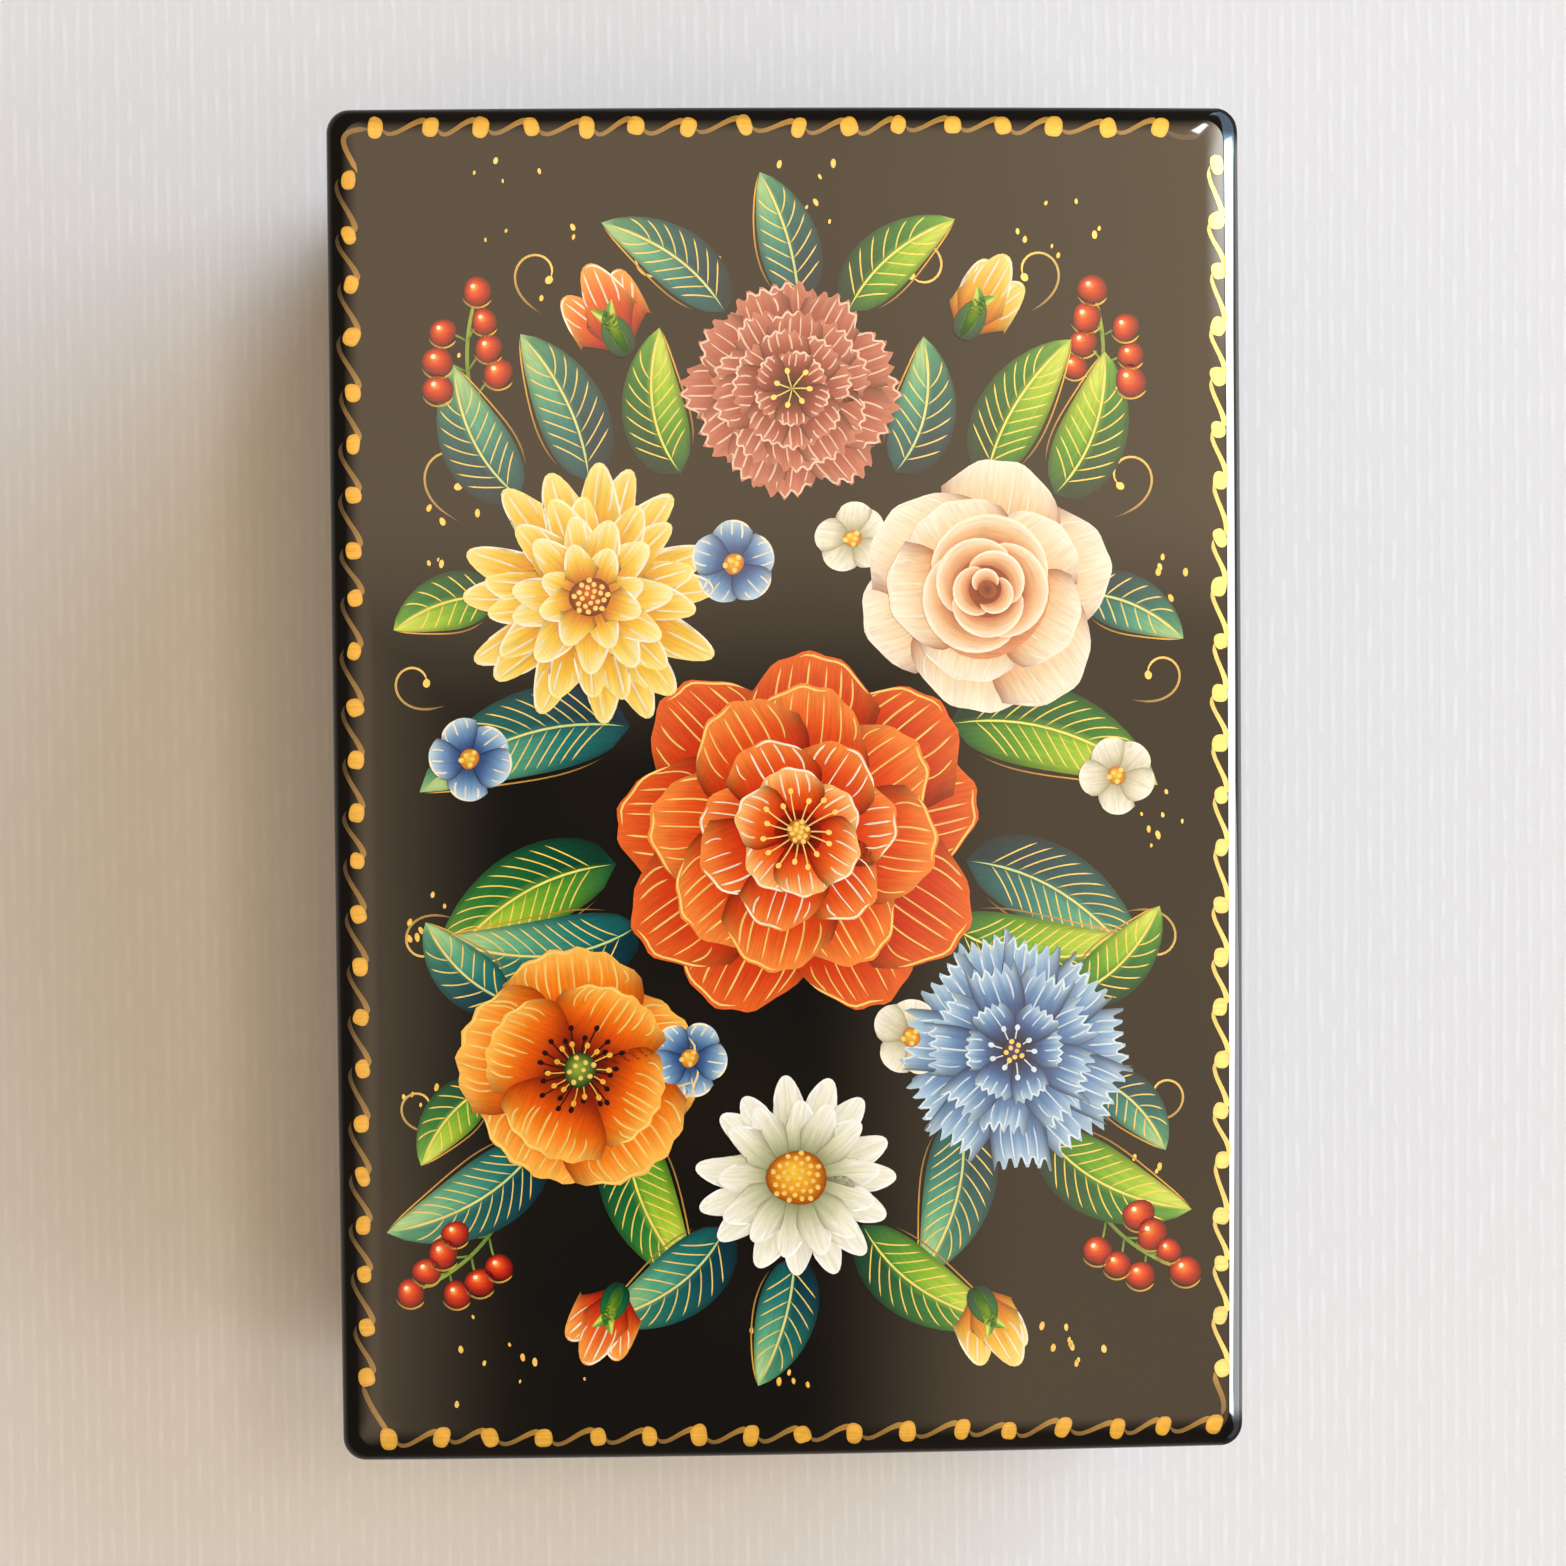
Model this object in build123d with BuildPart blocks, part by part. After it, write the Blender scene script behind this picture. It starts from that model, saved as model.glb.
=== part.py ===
"""A small lacquered papier-mache box with a hinged lid, after a folk miniature box.

The wound walls of the case stand on a pressed base board. Four strips glued inside the walls rise past the
joint and centre the lid, which is a wound rim under a crowned board. A brass hinge with rolled knuckles is
let into the left wall of the picture, and the bevelled edges behind it stop the lid when it is open.

Frame: +X to the right of the lid's picture, +Y to its top, +Z up, origin in the middle of the underside.
"""

import os
from math import asin, degrees, radians, sin, tan

from build123d import *

# Overall plan, in millimetres
WIDTH = 60.0
LENGTH = 89.0
CORNER_RADIUS = 1.5

# Case and lid
WALL = 3.5
INNER_CORNER_RADIUS = 0.8
BASE_THICKNESS = 3.0
BASE_EDGE_ROUND = 0.8
CASE_WALL_HEIGHT = 18.0
RIM_HEIGHT = 7.5
PANEL_THICKNESS = 4.0
PANEL_CROWN_ACROSS = 0.6
PANEL_CROWN_ALONG = 0.6
PANEL_EDGE_ROUND = 1.0

# Strips that centre the lid
STRIP_THICKNESS = 1.2
STRIP_RISE = 2.2
STRIP_EDGE_ROUND = 0.4
LID_CLEARANCE = 0.3
STRIP_CORNER_CLEARANCE = 0.3

# Hinge
HINGE_LENGTH = 40.0
KNUCKLE_COUNT = 5
KNUCKLE_GAP = 0.2
SHEET = 0.4
PIN_RADIUS = 0.55
PIN_CLEARANCE = 0.05
PIN_END_CHAMFER = 0.15
ROLL_ANGLE = 285.0
BARREL_INSET = 0.15
CASE_LEAF_DEPTH = 7.0
LID_LEAF_DEPTH = 5.5
LEAF_CORNER_RADIUS = 0.8
SEAT_CLEARANCE = 0.25
KERF_CLEARANCE = 0.05
OPENING_ANGLE = 100.0
STOP_SPARE_ANGLE = 1.5

# Nails through the hinge leaves
NAIL_COUNT = 3
NAIL_SPACING = 14.0
NAIL_RADIUS = 0.45
NAIL_CLEARANCE = 0.05
NAIL_COVER = 0.7

# Heights and inner sizes that follow from the sizes above
JOINT_Z = BASE_THICKNESS + CASE_WALL_HEIGHT
RIM_TOP_Z = JOINT_Z + RIM_HEIGHT
PANEL_TOP_Z = RIM_TOP_Z + PANEL_THICKNESS
INNER_WIDTH = WIDTH - 2 * WALL
INNER_LENGTH = LENGTH - 2 * WALL

# Hinge sizes that follow
BORE_RADIUS = PIN_RADIUS + PIN_CLEARANCE
BARREL_RADIUS = BORE_RADIUS + SHEET
AXIS_X = -WIDTH / 2 + BARREL_INSET + BARREL_RADIUS
SEAT_RADIUS = BARREL_RADIUS + SEAT_CLEARANCE
KNUCKLE_PITCH = HINGE_LENGTH / KNUCKLE_COUNT
LEAF_X = AXIS_X + (BORE_RADIUS + BARREL_RADIUS) / 2
BEVEL_ANGLE = OPENING_ANGLE / 2 + STOP_SPARE_ANGLE
NAIL_LENGTH = WALL - NAIL_COVER
NAIL_INNER_X = -INNER_WIDTH / 2

# A cut starts this far outside the face that it goes through
CUT_MARGIN = 1.0

BELOW = -1
ABOVE = 1


def hinge_plane(y=0.0):
    """The plane across the hinge at y: its local x is +X, its local y is +Z and its origin is on the pin."""
    return Plane(origin=(AXIS_X, y, JOINT_Z), x_dir=(1, 0, 0), z_dir=(0, -1, 0))


def wound_tube(height, bottom_z):
    """The section of a wound wall, to be extruded by height from bottom_z."""
    with BuildSketch(Plane.XY.offset(bottom_z)) as section:
        RectangleRounded(WIDTH, LENGTH, CORNER_RADIUS)
        RectangleRounded(INNER_WIDTH, INNER_LENGTH, INNER_CORNER_RADIUS, mode=Mode.SUBTRACT)
    return extrude(section.sketch, amount=height, mode=Mode.PRIVATE)


def stop_bevel(side):
    """The wedge cut from a wall's back edge, outwards from the pin, so that the lid can tip past upright."""
    reach = AXIS_X + WIDTH / 2 + CUT_MARGIN
    with BuildSketch(hinge_plane()) as wedge:
        with BuildLine():
            Polyline((0, 0), (-reach, 0), (-reach, side * reach * tan(radians(BEVEL_ANGLE))), close=True)
        make_face()
    return extrude(wedge.sketch, amount=LENGTH / 2 + CUT_MARGIN, both=True, mode=Mode.PRIVATE)


def barrel_seat():
    """The round groove that the hinge's barrel lies in, half in each wall."""
    with BuildSketch(hinge_plane()) as seat:
        Circle(SEAT_RADIUS)
    return extrude(seat.sketch, amount=HINGE_LENGTH / 2 + SEAT_CLEARANCE, both=True, mode=Mode.PRIVATE)


def leaf_outline(depth, clearance):
    """A leaf's flat outline, seen along X, from its fold line to its rounded far corners."""
    with BuildSketch(Plane.YZ) as outline:
        with Locations((0, depth / 2)):
            RectangleRounded(HINGE_LENGTH + 2 * clearance, depth + 2 * clearance, LEAF_CORNER_RADIUS)
    return outline.sketch


def leaf_slab(side, depth, clearance):
    """The leaf's sheet from the pin's level to its far edge, grown by clearance all round."""
    slab = extrude(leaf_outline(depth, clearance), amount=SHEET / 2 + clearance, both=True, mode=Mode.PRIVATE)
    if side == BELOW:
        slab = mirror(slab, about=Plane.XY, mode=Mode.PRIVATE)
    return Pos(LEAF_X, 0, JOINT_Z) * slab


def nail_places(side, depth):
    """Where the nails of one leaf start, on the inner face of the wall."""
    z = JOINT_Z + side * (SEAT_RADIUS + depth) / 2
    first = -NAIL_SPACING * (NAIL_COUNT - 1) / 2
    return [(NAIL_INNER_X, first + NAIL_SPACING * i, z) for i in range(NAIL_COUNT)]


def nail_shanks(side, depth, clearance):
    """The nails of one leaf, driven outwards from the inner face and stopping under the lacquer."""
    with BuildPart() as shanks:
        for place in nail_places(side, depth):
            with BuildSketch(Plane(origin=place, x_dir=(0, 1, 0), z_dir=(-1, 0, 0))):
                Circle(NAIL_RADIUS + clearance)
        extrude(amount=NAIL_LENGTH + clearance)
    return shanks.part


def knuckle_profile(side, y):
    """One knuckle's rolled sheet at y: up or down the leaf to the pin, and then most of the way round it."""
    tab = side * (SEAT_RADIUS + KERF_CLEARANCE)
    roll = -side * ROLL_ANGLE
    with BuildSketch(hinge_plane(y)) as profile:
        with BuildLine():
            outer = CenterArc((0, 0), BARREL_RADIUS, 0, roll)
            inner = CenterArc((0, 0), BORE_RADIUS, 0, roll)
            Line(outer @ 1, inner @ 1)
            Polyline(outer @ 0, (BARREL_RADIUS, tab), (BORE_RADIUS, tab), inner @ 0)
        make_face()
    return profile.sketch


def knuckle_gaps(first):
    """Blocks that clear the sheet beside the other leaf's knuckles, which start with number first."""
    reach = SEAT_RADIUS + KERF_CLEARANCE
    with BuildPart() as gaps:
        for i in range(first, KNUCKLE_COUNT, 2):
            middle = -HINGE_LENGTH / 2 + KNUCKLE_PITCH * (i + 0.5)
            end_gap = KNUCKLE_PITCH / 2 + KNUCKLE_GAP / 2
            with BuildSketch(hinge_plane(middle)):
                Rectangle(2 * reach, 2 * reach)
            extrude(amount=end_gap, both=True)
    return gaps.part


def rolled_leaf(side, depth, first):
    """A brass leaf, its knuckles numbered first, first + 2 and so on along the pin, and its nail holes."""
    with BuildPart() as leaf:
        add(leaf_slab(side, depth, 0))
        add(knuckle_gaps(1 - first), mode=Mode.SUBTRACT)
        for i in range(first, KNUCKLE_COUNT, 2):
            start = -HINGE_LENGTH / 2 + KNUCKLE_PITCH * i + KNUCKLE_GAP / 2
            extrude(knuckle_profile(side, start), amount=KNUCKLE_GAP - KNUCKLE_PITCH)
        add(nail_shanks(side, depth, NAIL_CLEARANCE), mode=Mode.SUBTRACT)
    return leaf.part


def centring_strip(turn):
    """One of the strips inside the walls, mitred at both ends. Turn is its side's direction from +X."""
    opening_width = INNER_WIDTH - 2 * STRIP_THICKNESS
    opening_length = INNER_LENGTH - 2 * STRIP_THICKNESS
    corner_radius = INNER_CORNER_RADIUS + STRIP_CORNER_CLEARANCE
    strip_height = CASE_WALL_HEIGHT + STRIP_RISE
    with BuildPart() as strip:
        # Against the wall, from the base up to the joint
        with BuildSketch(Plane.XY.offset(BASE_THICKNESS)):
            RectangleRounded(INNER_WIDTH, INNER_LENGTH, corner_radius)
        extrude(amount=CASE_WALL_HEIGHT)
        # Above the joint, set back from the lid's rim
        with BuildSketch(Plane.XY.offset(JOINT_Z)):
            RectangleRounded(INNER_WIDTH - 2 * LID_CLEARANCE, INNER_LENGTH - 2 * LID_CLEARANCE, corner_radius)
        extrude(amount=STRIP_RISE)
        fillet(strip.faces().sort_by(Axis.Z)[-1].edges(), radius=STRIP_EDGE_ROUND)
        with BuildSketch(Plane.XY.offset(BASE_THICKNESS)):
            Rectangle(opening_width, opening_length)
        extrude(amount=strip_height, mode=Mode.SUBTRACT)
        # Of the four sides, the one in the direction of the turn is kept, between its mitres
        if turn in (0, 180):
            outer = INNER_WIDTH / 2
            half_inner = opening_length / 2
        else:
            outer = INNER_LENGTH / 2
            half_inner = opening_width / 2
        inner = outer - STRIP_THICKNESS
        half_outer = half_inner + STRIP_THICKNESS
        with BuildSketch(Plane(Location((0, 0, BASE_THICKNESS), (0, 0, turn)))):
            with BuildLine():
                mitre = ((inner, -half_inner), (outer, -half_outer), (outer, half_outer), (inner, half_inner))
                Polyline(*mitre, close=True)
            make_face()
        extrude(amount=strip_height, mode=Mode.INTERSECT)
    return strip.part


# Base board under the walls
with BuildPart() as base_board:
    with BuildSketch():
        RectangleRounded(WIDTH, LENGTH, CORNER_RADIUS)
    extrude(amount=BASE_THICKNESS)
    fillet(base_board.faces().sort_by(Axis.Z)[0].edges(), radius=BASE_EDGE_ROUND)

# Wound walls of the case, with the lower half of the hinge's seat and its leaf's kerf
with BuildPart() as case_walls:
    add(wound_tube(CASE_WALL_HEIGHT, BASE_THICKNESS))
    add(stop_bevel(BELOW), mode=Mode.SUBTRACT)
    add(barrel_seat(), mode=Mode.SUBTRACT)
    add(leaf_slab(BELOW, CASE_LEAF_DEPTH, KERF_CLEARANCE), mode=Mode.SUBTRACT)
    add(nail_shanks(BELOW, CASE_LEAF_DEPTH, NAIL_CLEARANCE), mode=Mode.SUBTRACT)

# Rim of the lid, cut from the same winding
with BuildPart() as lid_rim:
    add(wound_tube(RIM_HEIGHT, JOINT_Z))
    add(stop_bevel(ABOVE), mode=Mode.SUBTRACT)
    add(barrel_seat(), mode=Mode.SUBTRACT)
    add(leaf_slab(ABOVE, LID_LEAF_DEPTH, KERF_CLEARANCE), mode=Mode.SUBTRACT)
    add(nail_shanks(ABOVE, LID_LEAF_DEPTH, NAIL_CLEARANCE), mode=Mode.SUBTRACT)

# Crowned board of the lid: a shallow arc across the width, turned about a far axis along the length
CROWN_RADIUS_ACROSS = (WIDTH / 2) ** 2 / (2 * PANEL_CROWN_ACROSS) + PANEL_CROWN_ACROSS / 2
CROWN_RADIUS_ALONG = (LENGTH / 2) ** 2 / (2 * PANEL_CROWN_ALONG) + PANEL_CROWN_ALONG / 2
CROWN_TURN = degrees(asin((LENGTH / 2 + CUT_MARGIN) / CROWN_RADIUS_ALONG))
CROWN_SWING = degrees(asin((WIDTH / 2 + CUT_MARGIN) / CROWN_RADIUS_ACROSS))
CROWN_AXIS_Z = PANEL_TOP_Z - CROWN_RADIUS_ALONG

with BuildPart() as lid_panel:
    with BuildSketch(Plane.XY.offset(RIM_TOP_Z)):
        RectangleRounded(WIDTH, LENGTH, CORNER_RADIUS)
    extrude(amount=PANEL_THICKNESS)
    with BuildSketch(Plane(Location((0, 0, CROWN_AXIS_Z), (90 - CROWN_TURN, 0, 0)))):
        with BuildLine():
            crown_centre = CROWN_RADIUS_ALONG - CROWN_RADIUS_ACROSS
            crown_floor = CROWN_RADIUS_ALONG - PANEL_THICKNESS - CUT_MARGIN
            crown_arc = CenterArc((0, crown_centre), CROWN_RADIUS_ACROSS, 90 - CROWN_SWING, 2 * CROWN_SWING)
            half_width = CROWN_RADIUS_ACROSS * sin(radians(CROWN_SWING))
            Polyline(crown_arc @ 0, (half_width, crown_floor), (-half_width, crown_floor), crown_arc @ 1)
        make_face()
    crown_axis = Axis((0, 0, CROWN_AXIS_Z), (1, 0, 0))
    revolve(axis=crown_axis, revolution_arc=2 * CROWN_TURN, mode=Mode.INTERSECT)
    crown_face = lid_panel.faces().sort_by(lambda face: face.bounding_box().max.Z)[-1]
    fillet(crown_face.edges(), radius=PANEL_EDGE_ROUND)


# Hinge pin, a wire through all the knuckles
with BuildPart() as hinge_pin:
    with BuildSketch(hinge_plane()):
        Circle(PIN_RADIUS)
    extrude(amount=(HINGE_LENGTH - KNUCKLE_GAP) / 2, both=True)
    chamfer(hinge_pin.edges().filter_by(GeomType.CIRCLE), length=PIN_END_CHAMFER)

PIECES = {
    "base_board": base_board.part,
    "case_walls": case_walls.part,
    "lid_rim": lid_rim.part,
    "lid_panel": lid_panel.part,
    "strip_right": centring_strip(0),
    "strip_top": centring_strip(90),
    "strip_left": centring_strip(180),
    "strip_bottom": centring_strip(270),
    "case_hinge_leaf": rolled_leaf(BELOW, CASE_LEAF_DEPTH, 0),
    "lid_hinge_leaf": rolled_leaf(ABOVE, LID_LEAF_DEPTH, 1),
    "hinge_pin": hinge_pin.part,
    "case_hinge_nails": nail_shanks(BELOW, CASE_LEAF_DEPTH, 0),
    "lid_hinge_nails": nail_shanks(ABOVE, LID_LEAF_DEPTH, 0),
}

os.makedirs("parts", exist_ok=True)
for name, piece in PIECES.items():
    piece.label = name
    export_step(piece, f"parts/{name}.step")
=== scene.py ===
"""Looks of the lacquer box: black and red lacquer, brass, and a folk bouquet painted on the lid."""

import math
import random

import bmesh
import bpy
import numpy as np
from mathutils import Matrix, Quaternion, Vector

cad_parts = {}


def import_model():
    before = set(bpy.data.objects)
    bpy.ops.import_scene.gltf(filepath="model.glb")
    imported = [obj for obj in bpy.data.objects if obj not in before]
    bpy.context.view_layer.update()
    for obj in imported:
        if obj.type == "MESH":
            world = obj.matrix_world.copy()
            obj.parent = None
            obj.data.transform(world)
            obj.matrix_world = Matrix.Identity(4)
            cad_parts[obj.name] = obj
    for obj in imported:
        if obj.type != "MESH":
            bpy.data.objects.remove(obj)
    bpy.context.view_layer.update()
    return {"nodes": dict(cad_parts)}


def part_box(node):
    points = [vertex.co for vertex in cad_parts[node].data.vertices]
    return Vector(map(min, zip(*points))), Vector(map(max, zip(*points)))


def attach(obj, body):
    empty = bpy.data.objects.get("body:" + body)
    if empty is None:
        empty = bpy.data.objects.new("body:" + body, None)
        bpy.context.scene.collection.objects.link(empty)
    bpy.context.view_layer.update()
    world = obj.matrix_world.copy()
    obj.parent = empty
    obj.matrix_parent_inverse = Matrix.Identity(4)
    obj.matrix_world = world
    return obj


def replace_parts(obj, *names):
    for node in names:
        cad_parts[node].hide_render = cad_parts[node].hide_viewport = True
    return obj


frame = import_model()
NODES = frame["nodes"]

# Sizes are in millimetres and become metres when a mesh is made
MM = 0.001

# The lid's board, as its solid has it
PANEL_LOW, PANEL_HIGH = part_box("lid_panel")
HALF_WIDTH = PANEL_HIGH.x / MM
HALF_LENGTH = PANEL_HIGH.y / MM
PANEL_TOP = PANEL_HIGH.z / MM
PANEL_UNDER = PANEL_LOW.z / MM
PLAN_CORNER = 1.5
CROWN = 0.6

# Its edge from the top out, by first and last tilt in degrees and length: a soft roll, a shoulder, a rubbed
# band and a round
EDGE_SHAPE = ((0, 3.2, 1.95), (3.2, 18.5, 0.06), (18.5, 21.5, 0.61), (21.5, 90, 0.85))
EDGE_SAMPLES = 10
BAND_SEGMENT = 2

# How wide that edge is on the other sides, as a share of its width on the right
RUBBED_TOP = 0.8
RUBBED_LEFT = 0.95
RUBBED_BOTTOM = 0.9

# Points closer than this are one point, and half the distance over which a slope is measured
SAME_PLACE = 0.002
SLOPE_STEP = 0.01


# The lid's surface


def side_shares(x, y):
    """How wide the edge is on the nearest sides along X and along Y."""
    return np.where(x > 0, 1.0, RUBBED_LEFT), np.where(y > 0, RUBBED_TOP, RUBBED_BOTTOM)


def edge_place(x, y):
    """A point's inset in the edge's profile, and the outward direction there.

    The points of one inset lie on a rectangle with round corners, which all have the outline's radius.
    """
    share_x, share_y = side_shares(x, y)
    past_x = np.abs(x) - (HALF_WIDTH - PLAN_CORNER)
    past_y = np.abs(y) - (HALF_LENGTH - PLAN_CORNER)
    from_sides = np.minimum((PLAN_CORNER - past_x) / share_x, (PLAN_CORNER - past_y) / share_y)
    in_corner = (past_x + from_sides * share_x > 0) & (past_y + from_sides * share_y > 0)
    square = share_x ** 2 + share_y ** 2
    half = past_x * share_x + past_y * share_y
    root = np.sqrt(np.maximum(half ** 2 - square * (past_x ** 2 + past_y ** 2 - PLAN_CORNER ** 2), 0))
    inset = np.where(in_corner, (root - half) / square, from_sides)
    out_x = np.maximum(past_x + inset * share_x, 0) / PLAN_CORNER
    out_y = np.maximum(past_y + inset * share_y, 0) / PLAN_CORNER
    return inset, np.copysign(out_x, x), np.copysign(out_y, y)


def edge_profile():
    """Insets from the outline and drops from the top along the edge's profile."""
    inset = [0.0]
    drop = [0.0]
    middles = (np.arange(EDGE_SAMPLES) + 0.5) / EDGE_SAMPLES
    for first, last, length in EDGE_SHAPE:
        tilt = np.radians(first + (last - first) * middles)
        inset += list(inset[-1] - np.cumsum(np.cos(tilt)) * length / EDGE_SAMPLES)
        drop += list(drop[-1] + np.cumsum(np.sin(tilt)) * length / EDGE_SAMPLES)
    return np.array(inset) - inset[-1], np.array(drop)


EDGE_INSET, EDGE_DROP = edge_profile()


def lid_height(x, y):
    """The crowned board's height at a point, with its rubbed edge."""
    crown = CROWN * ((x / HALF_WIDTH) ** 2 + (y / HALF_LENGTH) ** 2)
    inset, out_x, out_y = edge_place(x, y)
    share_x, share_y = side_shares(x, y)
    share = share_x * out_x ** 2 + share_y * out_y ** 2
    return PANEL_TOP - crown - share * np.interp(inset, EDGE_INSET[::-1], EDGE_DROP[::-1])


def on_lid(xy, lift):
    """Points of the lid's surface over xy, lifted along its normal."""
    x, y = xy[..., 0], xy[..., 1]
    slope_x = (lid_height(x + SLOPE_STEP, y) - lid_height(x - SLOPE_STEP, y)) / (2 * SLOPE_STEP)
    slope_y = (lid_height(x, y + SLOPE_STEP) - lid_height(x, y - SLOPE_STEP)) / (2 * SLOPE_STEP)
    normal = np.stack([-slope_x, -slope_y, np.ones_like(x)], -1)
    normal /= np.linalg.norm(normal, axis=-1, keepdims=True)
    return np.stack([x, y, lid_height(x, y)], -1) + normal * lift


# Node materials

# The clear coat over every painted face
COAT_ROUGHNESS = 0.035
COAT_IOR = 1.4

# Fingers have polished the edge opposite the hinge. Its shine fades to a faint share between these two
# distances from the edge's ends
POLISHED_IOR = 2.4
POLISH_FULL = 2.9
POLISH_FAINT = 1.5
FAINT_SHARE = 0.12

# How far the line between black and red wanders, how soft it is, and a height past every piece
LINE_WANDER = 0.08
LINE_SOFT = 0.03
FAR = 1000.0


def linear(rgb):
    """A colour written as 0 to 255 display values, as the linear values that shaders use."""
    c = np.asarray(rgb, float) / 255
    return np.where(c <= 0.04045, c / 12.92, ((c + 0.055) / 1.055) ** 2.4)


def rgba(*rgb):
    return (*linear(rgb), 1.0)


class Nodes:
    """The node tree of a material or world, with short calls for the nodes that the finishes share."""

    def __init__(self, owner, shader="Principled BSDF"):
        owner.use_nodes = True
        self.owner = owner
        self.tree = owner.node_tree
        self.shader = self.tree.nodes[shader]

    def node(self, kind, inputs=(), **settings):
        node = self.tree.nodes.new(kind)
        for key, value in settings.items():
            setattr(node, key, value)
        for key, value in dict(inputs).items():
            self.put(node.inputs[key], value)
        return node

    def put(self, socket, value):
        if isinstance(value, bpy.types.NodeSocket):
            self.tree.links.new(value, socket)
        else:
            socket.default_value = value

    def set(self, **values):
        """Sets the shader's inputs, named with underscores for spaces."""
        for key, value in values.items():
            self.put(self.shader.inputs[key.replace("_", " ")], value)

    def place(self):
        """The point on the piece at rest, in metres."""
        return self.node("ShaderNodeTexCoord").outputs["Object"]

    def axes(self, vector):
        return self.node("ShaderNodeSeparateXYZ", {0: vector}).outputs

    def noise(self, vector, per_mm, detail=3.0, rough=0.5, stretch=(1, 1, 1)):
        """Noise of so many grains to a millimetre, from 0 to 1."""
        scale = [per_mm / MM * s for s in stretch]
        mapped = self.node("ShaderNodeMapping", {"Vector": vector, "Scale": scale})
        inputs = {"Vector": mapped.outputs[0], "Scale": 1.0, "Detail": detail, "Roughness": rough}
        return self.node("ShaderNodeTexNoise", inputs).outputs["Fac"]

    def remap(self, value, low, high, to_low=0, to_high=1, curve="LINEAR"):
        inputs = {"Value": value, "From Min": low, "From Max": high, "To Min": to_low, "To Max": to_high}
        return self.node("ShaderNodeMapRange", inputs, clamp=True, interpolation_type=curve).outputs[0]

    def math(self, operation, a, b=0.0):
        return self.node("ShaderNodeMath", {0: a, 1: b}, operation=operation).outputs[0]

    def mix(self, factor, a, b, blend_type="MIX"):
        inputs = {0: factor, 6: a, 7: b}
        return self.node("ShaderNodeMix", inputs, data_type="RGBA", blend_type=blend_type).outputs[2]

    def bump(self, height, depth_mm):
        return self.node("ShaderNodeBump", {"Height": height, "Distance": depth_mm * MM}).outputs[0]


def lacquer_coat(nodes, ior=COAT_IOR):
    nodes.set(Coat_Weight=1.0, Coat_Roughness=COAT_ROUGHNESS, Coat_IOR=ior, Specular_IOR_Level=0.0)


def black_ground(nodes, place):
    """Black with the brown cast of oil lacquer, a little thinner in cloudy patches."""
    cloud = nodes.noise(place, 0.06, detail=4.0)
    return nodes.mix(nodes.remap(cloud, 0.4, 0.75), rgba(14, 12, 10), rgba(26, 20, 14))


def red_ground(nodes, place):
    """Vermilion with faint brush marks along the length."""
    brush = nodes.noise(place, 2.2, stretch=(1, 0.04, 0.25))
    return nodes.mix(nodes.remap(brush, 0.3, 0.7), rgba(148, 22, 13), rgba(161, 28, 16))


def two_grounds(red_depth, low=-FAR, high=FAR):
    """Black outside, and red from red_depth behind the outer faces, between two heights."""

    def ground(nodes, place):
        x, y, z = nodes.axes(place)
        wander = nodes.remap(nodes.noise(place, 0.35), 0.3, 0.7, -LINE_WANDER * MM, LINE_WANDER * MM)
        depth_x = nodes.math("SUBTRACT", HALF_WIDTH * MM, nodes.math("ABSOLUTE", x))
        depth_y = nodes.math("SUBTRACT", HALF_LENGTH * MM, nodes.math("ABSOLUTE", y))
        depth = nodes.math("ADD", nodes.math("MINIMUM", depth_x, depth_y), wander)
        inside = nodes.remap(depth, (red_depth - LINE_SOFT) * MM, (red_depth + LINE_SOFT) * MM)
        above = nodes.math("GREATER_THAN", z, low * MM)
        below = nodes.math("LESS_THAN", z, high * MM)
        red = nodes.math("MULTIPLY", inside, nodes.math("MULTIPLY", above, below))
        return nodes.mix(red, black_ground(nodes, place), red_ground(nodes, place))

    return ground


def lacquer(name, ground, ior=COAT_IOR):
    """Lacquer over the ground that a function paints, with the slight waves and grain of hand rubbing."""
    nodes = Nodes(bpy.data.materials.new(name))
    place = nodes.place()
    nodes.set(Base_Color=ground(nodes, place))
    wave = nodes.noise(place, 0.25, detail=1.0)
    grain = nodes.math("MULTIPLY", nodes.noise(place, 9.0, detail=2.0), 0.02)
    nodes.set(Normal=nodes.bump(nodes.math("ADD", wave, grain), 0.02))
    nodes.set(Roughness=nodes.remap(nodes.noise(place, 1.2), 0.3, 0.7, 0.16, 0.26))
    lacquer_coat(nodes, ior)
    return nodes.owner


def polished_lacquer():
    """Black lacquer rubbed to a high polish along an edge, which fades near the edge's ends."""
    nodes = Nodes(lacquer("edge_lacquer", black_ground, POLISHED_IOR))
    along = nodes.math("ABSOLUTE", nodes.axes(nodes.place())[1])
    full = (HALF_LENGTH - POLISH_FULL) * MM
    faint = (HALF_LENGTH - POLISH_FAINT) * MM
    nodes.set(Coat_Weight=nodes.remap(along, full, faint, 1.0, FAINT_SHARE, "SMOOTHSTEP"))
    return nodes.owner


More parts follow.
